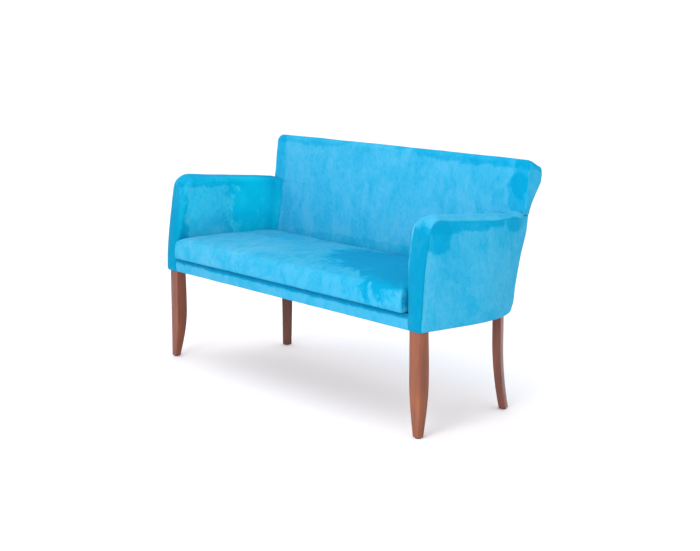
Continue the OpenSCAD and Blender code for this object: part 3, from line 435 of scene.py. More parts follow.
def velvet(name, patches=(), glow=(), tone=0.0, seed=0.0, lamps=1.0, sheen=0.06):
    """Short-pile velvet: brushed light and dark patches, mottle, small marks and a fine pile.

    patches shift the lie of the nap, and some paint shade; glow lightens or darkens a place, some for the nap's tone
    and some as painted light and shade: centre, radii, amount.
    """
    t = Tree(name)

    def shade(r, g, b):
        return tuple(c / lamps / LAMPS for c in rgb(r, g, b))

    def mark(centre, radii, edge, soft):
        scale = tuple(1 / r for r in radii)
        shift = tuple(-c / r for c, r in zip(centre, radii))
        away = t.add("VectorMath", {"Vector": t.mapped(scale, shift)}, operation="LENGTH").outputs["Value"]
        if edge is not None:
            away = t.math("ADD", away, edge)
        return t.spread(away, 1.0 + soft, 1.0 - soft)

    base = t.mapped((1, 1, 0.8), (seed, -seed, seed / 2))
    large = t.noise(7.0, 5.0, 0.6, 0.6, base)
    block = t.noise(26.0, 3.0, 0.55, 0.4, base)
    small = t.noise(80.0, 5.0, 0.7, 0.2, base)
    streak = t.noise(1.0, 3.0, 0.6, 0.3, t.mapped((70, 70, 9.0), (seed, 0, 0)))
    specks = t.spread(t.noise(110.0, 3.0, 0.6, 0.3, base), 0.60, 0.70)
    nap = t.math("MULTIPLY_ADD", t.spread(large, 0.42, 0.58), 0.10, 0.32)
    nap = t.math("MULTIPLY_ADD", t.spread(block, 0.40, 0.60), 0.07, nap)
    nap = t.math("MULTIPLY_ADD", small, 0.34, nap)
    nap = t.math("MULTIPLY_ADD", streak, 0.04, nap)
    nap = t.math("MULTIPLY_ADD", specks, -0.12, nap)
    edge = t.math("MULTIPLY_ADD", t.noise(15.0, 6.0, 0.7, 0.5), 1.6, -0.8)
    for centre, radii, strength in patches:
        nap = t.math("MULTIPLY_ADD", mark(centre, radii, edge, 0.16), strength, nap)
    nap = t.math("ADD", nap, tone)
    colour = t.ramp(nap, [
        (0.12, shade(0, 161, 210)), (0.32, shade(4, 167, 217)), (0.50, shade(40, 177, 224)),
        (0.66, shade(70, 186, 230)), (0.95, shade(108, 197, 236))])
    for centre, radii, soft, amount in glow:
        g = t.add("VectorMath", {0: mark(centre, radii, None, soft), 1: amount, 2: (1, 1, 1)},
                  operation="MULTIPLY_ADD").outputs["Vector"]
        colour = t.add("VectorMath", {0: colour, 1: g}, operation="MULTIPLY").outputs["Vector"]
    t.link(colour, "Base Color")
    pile = t.noise(900.0, 2.0, 0.6)
    soft = t.bump(t.noise(60.0, 5.0, 0.65, 0.6, base), 0.0014, 0.3)
    t.link(t.bump(pile, 0.0006, 0.35, soft), "Normal")
    t.shader.inputs["Roughness"].default_value = 0.95
    t.shader.inputs["Specular IOR Level"].default_value = 0.03
    t.shader.inputs["Sheen Weight"].default_value = sheen
    t.shader.inputs["Sheen Roughness"].default_value = 0.4
    t.shader.inputs["Sheen Tint"].default_value = (0.7, 0.9, 1.0, 1)
    return t.material


def timber(name, dark, mid, light, rough=0.42, coat=0.25, along="Z", scale=1.0):
    """Straight-grained wood under a satin lacquer, its grain running along one axis."""
    t = Tree(name)
    stretch = {"X": (1.6, 26, 26), "Y": (26, 1.6, 26), "Z": (26, 26, 1.6)}[along]
    v = t.mapped(tuple(s * scale for s in stretch))
    bands = t.noise(1.0, 5.0, 0.55, 0.9, v)
    pores = t.noise(6.5, 3.0, 0.7, 0.2, v)
    cloud = t.noise(7.0, 3.0, 0.5)
    f = t.math("MULTIPLY_ADD", bands, 0.75, -0.02)
    f = t.math("MULTIPLY_ADD", cloud, 0.32, f)
    f = t.math("MULTIPLY_ADD", t.spread(pores, 0.58, 0.74), -0.22, f)
    t.link(t.ramp(f, [(0.2, dark), (0.52, mid), (0.8, light)]), "Base Color")
    t.link(t.spread(pores, 0.3, 0.8, rough - 0.06, rough + 0.16), "Roughness")
    t.link(t.bump(pores, 0.0003, 0.35), "Normal")
    if coat:
        t.shader.inputs["Coat Weight"].default_value = coat
        t.shader.inputs["Coat Roughness"].default_value = 0.22
    return t.material


def plain(name, colour, rough, metallic=0.0, spot=80.0, depth=0.0002):
    """A quiet surface with a little mottle and bump, for foam, cloth, nylon and steel."""
    t = Tree(name)
    n = t.noise(spot, 4.0, 0.6)
    t.link(t.ramp(n, [(0.3, tuple(c * 0.8 for c in colour)), (0.7, tuple(min(1, c * 1.12) for c in colour))]),
           "Base Color")
    t.link(t.spread(n, 0.3, 0.7, rough - 0.07, rough + 0.07), "Roughness")
    t.link(t.bump(n, depth, 0.5), "Normal")
    t.shader.inputs["Metallic"].default_value = metallic
    return t.material


# Light and dark marks of the nap, and a few marks of painted shade: centre, radii and strength, in metres in the row
# frame. Then the places made lighter or darker as a whole, some as the nap's tone and some as painted light, shade
# and highlight: centre, radii, softness and change of each colour.
# BAND_SLOPE is how far an arm's front edge runs back for each metre of its height.
BAND_SLOPE = 0.114
# The seat's third mark, a dark band along its rear edge against the back, is painted shade in the crease.
seat_velvet = velvet("velvet_seat", [
    ((0.42, -0.02, 0.48), (0.37, 0.20, 0.2), -0.45), ((0.56, -0.20, 0.48), (0.16, 0.09, 0.2), -0.4),
    ((0.0, 0.16, 0.48), (0.5, 0.035, 0.2), -0.25), ((-0.42, -0.16, 0.46), (0.36, 0.14, 0.2), 0.1)],
    [((0.42, -0.01, 0.48), (0.42, 0.22, 0.2), 0.4, (-0.5, -0.04, 0.0))], 0.0, 3.1, 1.03, 0.02)
# The back's last mark darkens its foot just above the seat: painted shade in the crease.
back_velvet = velvet("velvet_back", [
    ((0.676, 0.2, 0.775), (0.04, 0.3, 0.075), -0.24), ((0.67, 0.2, 0.72), (0.05, 0.3, 0.07), -0.22),
    ((0.45, 0.22, 0.835), (0.42, 0.1, 0.035), -0.22), ((-0.5, 0.22, 0.835), (0.3, 0.1, 0.03), -0.14),
    ((-0.68, 0.2, 0.7), (0.05, 0.3, 0.2), -0.16), ((0.1, 0.2, 0.47), (0.6, 0.3, 0.02), -0.12)],
    [], 0.03, 7.7)
arm_velvet = velvet("velvet_arms", [
    ((-0.67, 0.16, 0.55), (0.06, 0.19, 0.3), -0.30), ((-0.67, 0.0, 0.68), (0.06, 0.4, 0.03), -0.22),
    ((0.71, -0.27, 0.5), (0.09, 0.05, 0.24), -0.30), ((-0.71, -0.27, 0.5), (0.09, 0.05, 0.24), -0.26)],
    # Glow: the first two lighten the left arm's inner face, painted light against the shade it gets; the third
    # darkens its corner against the back, painted shade.
    [((-0.66, -0.02, 0.56), (0.04, 0.26, 0.14), 0.3, (0.2, 0.30, 0.12)),
     ((-0.66, 0.07, 0.55), (0.05, 0.10, 0.16), 0.5, (0.1, 0.35, 0.2)),
     ((-0.648, 0.195, 0.57), (0.04, 0.035, 0.2), 0.5, (0.0, -0.12, -0.1)),
     ((0.71, -0.28, 0.5), (0.09, 0.06, 0.26), 0.3, (-0.1, -0.2, -0.2)),
     ((-0.71, -0.28, 0.5), (0.09, 0.06, 0.26), 0.3, (-0.1, -0.17, -0.17))]
    # These glow spots along the right arm's inner front edge paint a highlight on its rounded edge.
    + [((0.668, -0.262 + BAND_SLOPE * (z - 0.4), z), (0.006, 0.03, 0.03), 0.5, (2.5, 0.25, 0.12))
       for z in (0.40, 0.44, 0.48, 0.52, 0.56, 0.60, 0.64)], -0.02, 1.3)
side_velvet = velvet("velvet_sides", [
    ((0.745, -0.06, 0.665), (0.2, 0.20, 0.035), -0.26), ((0.745, -0.20, 0.62), (0.2, 0.05, 0.05), -0.26),
    ((0.745, 0.13, 0.64), (0.2, 0.05, 0.03), -0.22)],
    # The glow spots along the right panel's front seam paint a highlight on its rounded edge.
    [((0.745, -0.257 + BAND_SLOPE * (z - 0.4), z), (0.2, 0.006, 0.035), 0.4, (0.2, 0.05, 0.02))
     for z in (0.36, 0.41, 0.46, 0.51, 0.56, 0.61)], 0.0, 5.2)
# The apron's mark and glow darken its top under the seat pad's overhang: a painted shadow cast by the pad.
apron_velvet = velvet("velvet_apron", [((0, -0.27, 0.388), (3.0, 0.1, 0.018), -0.3)],
                      [((0, -0.27, 0.388), (3.0, 0.1, 0.016), 0.5, (-0.6, -0.4, -0.33))], 0.06, 9.4, 1.05, 0.02)
rear_velvet = velvet("velvet_rear", [], [], -0.02, 11.9)
mahogany = timber("mahogany", rgb(78, 36, 14), rgb(128, 64, 30), rgb(160, 92, 52), coat=0.15)
# The front right leg takes the plain mahogany; the other three take darker copies of it as painted shade, the left
# back leg darkest.
leg_wood = {
    ("front", "right"): mahogany,
    ("front", "left"): timber("mahogany_painted_shade_b", rgb(70, 28, 14), rgb(112, 52, 28), rgb(142, 78, 46), coat=0.15),
    ("back", "right"): timber("mahogany_painted_shade_c", rgb(66, 28, 18), rgb(106, 50, 34), rgb(134, 72, 52), coat=0.15),
    ("back", "left"): timber("mahogany_painted_shade_d", rgb(52, 24, 16), rgb(86, 44, 30), rgb(108, 60, 44), coat=0.15)}
beech = timber("beech", rgb(176, 138, 96), rgb(205, 168, 122), rgb(222, 190, 148), 0.6, 0.0, "X")
board = timber("board", rgb(170, 132, 90), rgb(196, 160, 114), rgb(214, 180, 136), 0.65, 0.0, "X", 0.6)
foam = plain("foam", rgb(238, 228, 186), 0.95, spot=300.0, depth=0.0006)
webbing = plain("webbing", rgb(52, 50, 46), 0.8, spot=500.0, depth=0.0006)
dust_cloth = plain("dust_cloth", rgb(34, 34, 37), 0.9, spot=420.0, depth=0.0003)
nylon = plain("nylon", rgb(26, 26, 28), 0.45)
steel = plain("zinc_steel", rgb(168, 170, 174), 0.35, 1.0)


# Arms.
FRONT_BOW, HEM_ROLL_R = 6.5, 11.0
LEFT_RISE, RIGHT_DROP = 4.0, 7.5
LEFT_CROWN, RIGHT_CROWN = 9.0, 5.5


def dress_arm(x, y, z):
    """Padding of an arm: its front bows forward and turns under at the hem, and its top settles unevenly."""
    high = ease((z - 590) / 70)
    if x < 0:
        z += LEFT_RISE * high
    else:
        out = limit((outer_x(y, z) - x) / 42)
        z -= high * (1 - ease(out)) * RIGHT_DROP * mix(0.45, 1, ease((y - 40) / 60)) * (1 - ease((y - 260) / 170))
    behind = y - front_y(z)
    bow = FRONT_BOW * math.sin(math.pi * limit((z - 338) / 318))
    y -= bow * (1 - ease(behind / 110))
    tuck = roll(z - HEM_H, HEM_ROLL_R)
    near = 1 - ease(behind / 20)
    y += 0.8 * tuck * near
    middle = HALF_W - ARM_HEM_T / 2
    pinch = 0.45 * tuck if abs(x) > middle else -0.5 * tuck * near
    return x - math.copysign(pinch, x), y, z


def arm_frame():
    """The two straight edges of an arm's side view, with their inward normals, and the nose's centre."""
    nf = np.array([cos(FRONT_RAKE), -sin(FRONT_RAKE)])
    nt = np.array([-sin(ARM_FALL), -cos(ARM_FALL)])
    f0, t0 = np.array([-ARM_PROUD, HEM_H]), np.array([-ARM_PROUD, ARM_H])
    centre = np.linalg.solve(np.array([nf, nt]), np.array([f0 @ nf + NOSE_R, t0 @ nt + NOSE_R]))
    return nf, nt, centre


NF, NT, NOSE_C = arm_frame()
NOSE_STEPS = 14
COVE_STEPS = [15, 30, 46, 62]
COVE_END = 62.0
CREASE_R = 4.0


def cove_c(z):
    return face_y(z) - FIT - COVE_R


def cove_xy(q):
    """Shift in X and Y along the corner between arm and back, q past its start."""
    full = COVE_R * math.radians(COVE_END)
    if q <= 0:
        return 0.0, q
    if q <= full:
        a = math.degrees(q / COVE_R)
        return -COVE_R * (1 - cos(a)), COVE_R * sin(a)
    a = max(0.0, COVE_END - math.degrees((q - full) / CREASE_R))
    k = CREASE_R
    return (-COVE_R * (1 - cos(COVE_END)) - k * (cos(a) - cos(COVE_END)),
            COVE_R * sin(COVE_END) + k * (sin(COVE_END) - sin(a)))


COVE_LEN = COVE_R * math.radians(COVE_END) + CREASE_R * math.radians(COVE_END)


def arm_rows():
    """Rows along an arm's side view: (start point, inward normal, nose share, cove distance)."""
    start = NOSE_C - NOSE_R * NF
    low = (HEM_H - start[1]) / cos(FRONT_RAKE)
    rows = []
    for d in [0, 1.2, 3, 6, 12, 24, 40, 57] + list(np.linspace(72, -low, 20)):
        p = start + np.array([sin(FRONT_RAKE), cos(FRONT_RAKE)]) * (low + d)
        rows.append((p, NF, 0.0, None))
    for i in range(1, NOSE_STEPS):
        t = i / NOSE_STEPS
        a = math.radians(mix(-FRONT_RAKE, -(90 + ARM_FALL), t))
        n = np.array([math.cos(a), math.sin(a)])
        rows.append((NOSE_C - NOSE_R * n, n, t, None))
    top0 = NOSE_C - NOSE_R * NT
    y1 = cove_c(arm_z(440))
    for y in np.linspace(top0[0], y1, 30):
        rows.append((np.array([y, arm_z(y)]), NT, 1.0, None))
    crease = np.linspace(COVE_R * math.radians(COVE_END), COVE_LEN, 5)[1:]
    for q in [COVE_R * math.radians(a) for a in COVE_STEPS] + list(crease):
        rows.append((np.array([y1, arm_z(y1)]), NT, 1.0, q))
    return rows


ARM_ROWS = arm_rows()
BAND_R = 3.5


def arm_point(row, x_of, n):
    p, nrm, nose, q = row
    y, z = p[0] + nrm[0] * n, p[1] + nrm[1] * n
    if q is None:
        shift = 0.0
    else:
        shift, dy = cove_xy(q)
        y = cove_c(z) + dy
    return x_of(y, z, shift), y, z


def tail_at(row, z, share):
    q = row[3]
    if q is None:
        return 0.0
    reach = tub_pt(SEAM_S, z)[1] - 2 * FIT - (face_y(z) - FIT)
    return reach * ease(q / COVE_LEN) * ease(share)


def outer_at(row, y, z):
    return outer_x(y + tail_at(row, z, 1.0), z)


def edge_r(row):
    """Radius of an arm's inner edge, fuller round the nose."""
    y, nose = row[0][0], row[2]
    return mix(EDGE_R, IN_R, nose) + 13 * sin(90 * nose) * math.exp(-(max(0, y - NOSE_C[0]) / 55) ** 2)


def arm_strip(crown):
    grid = []
    for row in ARM_ROWS:
        r = edge_r(row)
        line = []
        for a in (-35, -15, 5, 25, 45, 67, 90):
            n = BAND_R - BAND_R * sin(a)
            x, y, z = arm_point(row, lambda y, z, s: outer_at(row, y, z) - BAND_R + BAND_R * cos(a), n)
            line.append((x, y + tail_at(row, z, 1.0), z))
        for i in range(1, 9):
            t = i / 9
            rise = crown * mix(0.6, 1, row[2]) * math.sin(math.pi * t) * (1 - 0.8 * ease((row[3] or 0) / COVE_LEN))

            def across(y, z, s, t=t, r=r):
                return mix(outer_at(row, y, z) - BAND_R, arm_in_x(z) + s + r, t)
            x, y, z = arm_point(row, across, -rise)
            line.append((x, y + tail_at(row, z, 1.0 - 1.8 * t), z))
        for b in (0, 15, 30, 45, 60, 75, 90):
            line.append(arm_point(row, lambda y, z, s: arm_in_x(z) + s + r * (1 - sin(b)), r * (1 - cos(b))))
        grid.append(line)
    return grid


def inner_patch():
    """The rest of the inner face, between the strip's inner edge, the seat and the back."""
    mid = next(i for i, r in enumerate(ARM_ROWS) if r[2] >= 0.5)
    low = next(i for i, r in enumerate(ARM_ROWS) if r[0][1] > 391)

    def qz(row):
        r = edge_r(row)
        y, z = row[0][0] + row[1][0] * r, row[0][1] + row[1][1] * r
        return np.array([row[3] if row[3] is not None else y - cove_c(z), z])
    left = [qz(ARM_ROWS[i]) for i in range(mid, low - 1, -1)]
    top = [qz(r) for r in ARM_ROWS[mid:]]
    rows, cols = len(left), len(top)
    z_low = left[-1][1]
    right = [np.array([COVE_LEN, mix(top[-1][1], z_low, i / (rows - 1))]) for i in range(rows)]
    bottom = [np.array([mix(left[-1][0], COVE_LEN, (t[0] - top[0][0]) / (COVE_LEN - top[0][0])), z_low]) for t in top]
    grid = []
    for i in range(rows):
        v = i / (rows - 1)
        line = []
        for j in range(cols):
            u = j / (cols - 1)
            p = ((1 - u) * left[i] + u * right[i] + (1 - v) * top[j] + v * bottom[j]
                 - (1 - u) * (1 - v) * top[0] - u * (1 - v) * top[-1] - (1 - u) * v * left[-1] - u * v * right[-1])
            dx, dy = cove_xy(p[0])
            line.append((arm_in_x(p[1]) + dx, cove_c(p[1]) + dy, p[1]))
        grid.append(line)
    return grid


def arm_relief(x, y, z):
    """Padding: a soft swell of the inner face, a tuck at the rear of the top, and uneven filling."""
    h = 1.5 * soft_noise(abs(x), y, z, 120, 3.0) + 0.5 * soft_noise(abs(x), y, z, 38, 5.0)
    swell = math.exp(-((y - 220) / 170) ** 2 - ((z - 560) / 80) ** 2) * 3.0
    if abs(x) < 690 and z < 660:
        h += swell
    if x > 0:
        h += 8.5 * math.exp(-((x - 700) / 24) ** 2 - ((y - 428) / 24) ** 2) * ease((z - 640) / 10)
    return h


for side, mirror in SIDES:
    strip = arm_strip(LEFT_CROWN if mirror else RIGHT_CROWN)
    arm = surface(f"arm_cover_{side}", [strip[::-1], inner_patch()], arm_velvet, mirror=mirror)
    dress(arm, dress_arm)
    relief(arm, arm_relief)
    thicken(arm)
    ride(arm, "cover_fabric", f"inside_arm_cover_{side}", f"arm_top_foam_{side}", f"arm_side_foam_{side}")


# Outer side panels.
PANEL_IN = 4.0
PANEL_R = 3.0


def contour_inset(y, z):
    """Distance in from the arm's side view edge."""
    f = (y - front_y(z)) * cos(FRONT_RAKE)
    t = (arm_z(y) - z) * cos(ARM_FALL)
    p = np.array([y, z]) - NOSE_C
    if p @ NF < 0 and p @ NT < 0:
        return NOSE_R - math.hypot(*p)
    return min(f, t)


def top_for(y):
    """Height of the panel's upper edge at y."""
    lo, hi = HEM_H, arm_z(y)
    for _ in range(24):
        m = (lo + hi) / 2
        if contour_inset(y, m) > PANEL_IN:
            lo = m
        else:
            hi = m
    return lo


def panel_grid():
    s_first = [0, 0.004, 0.009, 0.016, 0.026, 0.04, 0.06, 0.085, 0.115, 0.15, 0.19, 0.24, 0.3]
    columns = (s_first + list(np.linspace(0.36, 1, 10)) + list(np.linspace(1.08, 2, 13))
               + [2.06, 2.12, 2.15, 2.165, 2.175, SEAM_S])
    down = [0, 0.8, 1.8, 3, 4.5, 7, 12, 20, 30]
    up = [0, 0.8, 2, 4, 7, 12]
    grid = []
    for s in columns:
        start = PANEL_IN / cos(FRONT_RAKE)
        z = ARM_H - NOSE_R
        for _ in range(6):
            y = tub_pt(s, z, 0, start)[1]
            z = top_for(y)
        line = []
        body = np.linspace(z - down[-1], HEM_H + up[-1], 24)[1:-1]
        for zz in [z - d for d in down] + list(body) + [HEM_H + u for u in up[::-1]]:
            x, y, _ = tub_pt(s, zz, 0, start)
            depth = roll(contour_inset(y, zz) - PANEL_IN, PANEL_R)
            depth += roll(zz - HEM_H, mix(3.0, 10.0, ease((s - 1.5) / 0.6)))
            depth += roll((tub_pt(SEAM_S, zz)[1] - y) / 0.75, 2.5)
            line.append(tub_pt(s, zz, depth, start))
        grid.append(line)
    return grid


def corner_swell(y, z):
    """Padding over the rear corner of the tub."""
    return ease((y - 300) / 130) * (5.5 * math.exp(-((z - 615) / 75) ** 2) + 3.5 * math.exp(-((z - 372) / 32) ** 2))


def panel_relief(x, y, z):
    edge = min(contour_inset(y, z), z - HEM_H + 6, 60)
    h = 3.0 * ease(edge / 60) + corner_swell(y, z)
    return h + (1.2 * soft_noise(x, y, z, 150, 8.0) + 0.5 * soft_noise(x, y, z, 45, 2.0)) * ease(edge / 20)


for side, mirror in SIDES:
    panel = surface(f"arm_side_{side}", [panel_grid()], side_velvet, mirror=mirror)
    dress(panel, dress_arm)
    relief(panel, panel_relief)
    thicken(panel)
    ride(panel, "cover_fabric", f"outside_arm_cover_{side}")


# Back: face and crest in one cover, the outside in another.
WING_Z = 657.5
FACE_LOW_Z = 398


def face_half(z):
    if z < WING_Z:
        return min(arm_in_x(z) - 1, outer_x(face_y(z) + COVER_T, z) - 6)
    return BACK_HALF


def back_face_grid():
    fr = [0, 0.8, 1.8, 3, 4.5, 6.5, 10, 16, 24, 34, 46, 60]
    n_mid = 56
    heights = ([FACE_LOW_Z, 404, 415] + list(np.linspace(430, 640, 22))
               + [647, 652, WING_Z - 3, WING_Z - 1, WING_Z, WING_Z + 2, 664, 674]
               + list(np.linspace(684, CREST_Z - 8, 12)) + [CREST_Z - 3])
    profile = [(face_y(z), z, 0) for z in heights]
    profile += [(CREST_Y - CREST_R * cos(a), CREST_Z + CREST_R * sin(a), a) for a in range(0, 90, 10)]
    profile += [(CREST_Y + ROLL_A * sin(a), ROLL_Z + CREST_ROLL * cos(a), 90 + a) for a in range(0, 91, 6)]
    profile += [(CREST_Y + ROLL_A - 3.0, ROLL_Z - 4, 182), (CREST_Y + ROLL_A - 5.0, ROLL_Z - 9, 182)]
    grid = []
    for py, pz, lean in profile:
        if abs(pz - WING_Z) < 3.5:
            half = mix(face_half(WING_Z - 4), BACK_HALF, ease((pz - WING_Z + 3) / 3))
        else:
            half = face_half(pz)
        seam_y = REAR_MOST if lean > 180 else py
        if lean > 90:
            half = crest_half(seam_y) - (1.0 if lean > 180 else 0.0)
        right = [half - e for e in fr]
        xs = right + list(np.linspace(right[-1], -right[-1], n_mid))[1:-1] + [-x for x in right[::-1]]
        near_top = 1.0 if lean > 90 else ease((pz - BACK_H + 3 * CORNER_F) / (2 * CORNER_F))
        line = []
        for x in xs:
            f = abs(x) / half
            swell = BACK_CROWN * (1 - min(1, f / 0.97) ** 6) * (1 - near_top)
            swell *= math.sin(math.pi * limit((pz - FACE_LOW_Z) / (BACK_H - FACE_LOW_Z)))
            tuck = roll(half - abs(x), 6.0) if pz > WING_Z - 2 else 0.0
            crease = -2.0 * ease((abs(x) - 632) / 14) * (1 - ease((pz - 640) / 14))
            drop = near_top * corner_drop(x, seam_y) + end_drop(x, seam_y)
            over = ease((seam_y - CREST_Y) / ROLL_A)
            back = over * drop * tan(REAR_RAKE)
            line.append((x, py - swell + (tuck + crease) * (1 - over) - back, pz - drop))
        if pz > WING_Z:
            inset = mix(1.5, 6.0, ease((lean - 120) / 50))
            ends = [(math.copysign(abs(x) - inset, x), y + 9 * cos(lean), z - 9 * max(sin(lean), 0.8 * (lean > 90)))
                    for x, y, z in (line[0], line[-1])]
        else:
            ends = [line[0], line[-1]]
        grid.append([ends[0]] + line + [ends[1]])
    return grid


def wing_soffit(side):
    """Underside of the back where it widens above an arm."""
    z = WING_Z - 0.8
    edge = [np.array(wing_pt(2 * i / 14, z, 1.5)) for i in range(15)]
    start = np.array((face_half(z), face_y(z) + 1.0, z))
    rows = []
    for e in edge:
        inner = start + (0, (e[1] - start[1]) * 0.6, 0)
        rows.append([(side * p[0], p[1], p[2]) for p in (mix(inner, e, t) for t in (0, 0.5, 1))])
    return rows


def back_relief(x, y, z):
    h = 1.6 * soft_noise(x, y, z, 190, 4.0) + 0.6 * soft_noise(x, y, z, 60, 6.0)
    return h * ease((BACK_HALF - abs(x)) / 30)


face = surface("back_cover_face", [back_face_grid(), wing_soffit(1), wing_soffit(-1)[::-1]], back_velvet, flip=True)
relief(face, back_relief)
thicken(face)
ride(face, "cover_fabric", "inside_back_cover", "back_foam")


def back_outside_grid():
    gap = SEAM_S + 0.012
    close = [0.002, 0.005, 0.01, 0.018, 0.03, 0.05]
    low = ([gap, gap + 0.012, gap + 0.03, gap + 0.06] + list(np.linspace(2.3, 3, 12)) + [3 + t for t in close]
           + list(np.linspace(3.08, 4, 12)))
    high = ([0, 0.02, 0.045, 0.09] + list(np.linspace(0.2, 2, 12)) + [2 + t for t in close]
            + list(np.linspace(2.08, 3, 12)))
    zs = [0, 0.8, 2, 4, 7, 12, 24] + list(np.linspace(40, STEP_H - HEM_H - 16, 18))
    rows = []
    for u in zs:
        z = HEM_H + u
        row = []
        for s in low:
            hem = roll(u, mix(10.0, 3.0, ease((s - 2.3) / 0.6)))
            row.append(tub_pt(s, z, hem + roll(40 * (s - gap), 2.5)))
        rows.append(row)
    for k in range(1, 11):
        z = STEP_H - 16 + 2.2 * k
        t = ease((z - (WING_Z - 5)) / 8)
        row = []
        for a, b in zip(low, high):
            p, q = np.array(tub_pt(a, z, 0)), np.array(wing_pt(b, z, 0))
            row.append(tuple(mix(p, q, t)))
        rows.append(row)
    z0 = rows[-1][0][2]
    ups = [0.06, 0.13, 0.22, 0.32, 0.43, 0.54, 0.65, 0.75, 0.84, 0.91, 0.955, 0.975, 0.985, 0.993, 1]
    for t in ups:
        row = []
        for b in high:
            x, y, _ = wing_pt(b, ROLL_Z)
            top = max(ROLL_Z, crest_at(y) - COVER_T) - corner_drop(x, y) - end_drop(x, y) - 0.4
            z = mix(z0, top, t)
            row.append(wing_pt(b, z, roll(top - z, 1.2) + roll(30 * b, 3.0)))
        rows.append(row)
    return [row + [(-x, y, z) for x, y, z in row[-2::-1]] for row in rows]


def outside_relief(x, y, z):
    h = 1.2 * soft_noise(x, y, z, 200, 1.0) + 0.5 * soft_noise(x, y, z, 70, 9.0)
    return h + corner_swell(y, z) * ease((abs(x) - 560) / 80)


outside = surface("back_cover_outside", [back_outside_grid()], rear_velvet)
relief(outside, outside_relief)
thicken(outside)
ride(outside, "cover_fabric", "outside_back_cover")


# Seat pad.
SEAT_HALF = arm_in_x(SEAT_Z + SEAT_SIDE) - SEAT_GAP
SEAT_Y0 = -SEAT_PROUD
SEAT_Y1 = face_y(SEAT_Z) - BACK_CROWN - SEAT_GAP
SEAT_MID = (SEAT_Y0 + SEAT_Y1) / 2
SEAT_CLOSE = (SEAT_Y1 - SEAT_Y0) / 2
RING_CORNER, RING_LONG, RING_SHORT = 10, 90, 34
PAD_CAP = 4.0


def seat_ring(e):
    """Outline of the seat pad, drawn in by e, with as many points whatever e is."""
    x1, y0, y1 = SEAT_HALF - e, SEAT_Y0 + e, SEAT_Y1 - e
    least = min(6.0, SEAT_CLOSE - e)
    rf, rr = max(least, SEAT_FRONT_R - e), max(least, COVE_R + 6 - e)
    pts = []
    for cx, cy, r, a0, span in ((x1 - rf, y0 + rf, rf, -90, 0), (x1 - rr, y1 - rr, rr, 0, 1),
                                (-x1 + rr, y1 - rr, rr, 90, 2), (-x1 + rf, y0 + rf, rf, 180, 3)):
        pts += arc(cx, cy, r, a0, RING_CORNER)
        end = {0: (x1, y1 - rr), 1: (-x1 + rr, y1), 2: (-x1, y0 + rf), 3: (x1 - rf, y0)}[span]
        k = RING_SHORT if span in (0, 2) else RING_LONG
        last = pts[-1]
        pts += [(mix(last[0], end[0], i / k), mix(last[1], end[1], i / k)) for i in range(1, k)]
    return pts


def crown_at(x, y):
    u = limit(abs(x) / (SEAT_HALF - 8))
    v = limit(abs(y - SEAT_MID) / (SEAT_Y1 - SEAT_MID - 8))
    return SEAT_CROWN * math.sqrt(max(0.0, (1 - u ** 7) * (1 - v ** 2.2)))


def seat_grid():
    profile = [(34, -0.5), (16, -0.5), (8.5, -0.4), (6, 0.4), (3.6, 2.2), (1.8, 5), (0.6, 10), (0, 17)]
    profile += [(0, h) for h in (24, 30, 36)]
    profile += [(SEAT_EDGE_R * (1 - cos(a)), SEAT_SIDE - SEAT_EDGE_R + SEAT_EDGE_R * sin(a)) for a in range(0, 91, 9)]
    profile += [(e, SEAT_SIDE) for e in (30, 36, 44, 54, 66, 80, 96, 114, 134, 155, 176, 196, 212, SEAT_CLOSE)]
    rings = []
    for e, h in profile:
        draw = SEAT_DRAW * max(0.0, 1 - e / 40)
        ring = []
        for x, y in seat_ring(e):
            bulge = 2.5 * math.sin(math.pi * limit(h / 60)) * ease(1 - e / 20)
            front = y < SEAT_Y0 + 30
            yy = y + (draw * math.cos(math.pi / 2 * x / SEAT_HALF) if y < SEAT_MID else 0.0)
            yy -= bulge if front else 0.0
            c = crown_at(x, y) * ease((h - 40) / 31) if e > 8 else 0.0
            ring.append((x, yy, SEAT_Z + h + c))
        ring.append(ring[0])
        rings.append(ring)
    return rings


def seat_relief(x, y, z):
    top = ease((z - 450) / 15)
    h = (1.8 * soft_noise(x, y, z, 170, 2.0) + 0.8 * soft_noise(x, y, z, 60, 7.0)) * (0.4 + 0.6 * top)
    return h * ease((z - SEAT_Z) / 12)


def seat_hold(x, y, z):
    """The pad is held along its lower edge."""
    return 1 - ease((z - SEAT_Z - 4) / 14)


seat = surface("seat_pad", [seat_grid()], seat_velvet)
close_ends(seat, split=True)
relief(seat, seat_relief)
settle(seat, seat_hold, PAD_CAP)
ride(seat, "cover_fabric", "seat_cover", "seat_foam")


# Apron.
def apron_grid():
    y0, top = -3.0, SEAT_Z - 0.7
    outline = [(22, 336.5), (10, 335.2), (4, 335)] + [
        (y0 + 4 - 4 * cos(a), HEM_H + 4 - 4 * sin(a)) for a in (90, 60, 30, 0)][1:]
    outline += [(y0 - 3.0 * math.sin(math.pi * t), mix(HEM_H + 4, top - 5, t)) for t in np.linspace(0.08, 0.92, 9)]
    outline += [(y0 + 5 - 5 * cos(a), top - 5 + 5 * sin(a)) for a in (0, 30, 60, 90)] + [(12, top), (20, top)]
    ends = [0, 0.4, 1.2, 2.4, 4, 6, 8, 11, 14]
    rows = []
    for y, z in outline:
        half = arm_in_x(z) + 3.0
        xs = [half - e for e in ends] + list(np.linspace(half - 20, -half + 20, 70)) + [-half + e for e in ends[::-1]]
        rows.append([(x, y + roll(half - abs(x), 3.5) * (1 - ease((y - 6) / 8)), z) for x in xs])
    return rows


def apron_relief(x, y, z):
    return (0.7 * soft_noise(x, y, z, 110, 5.0) + 0.35 * soft_noise(x, y, z, 36, 1.0)) if y < 6 else 0.0


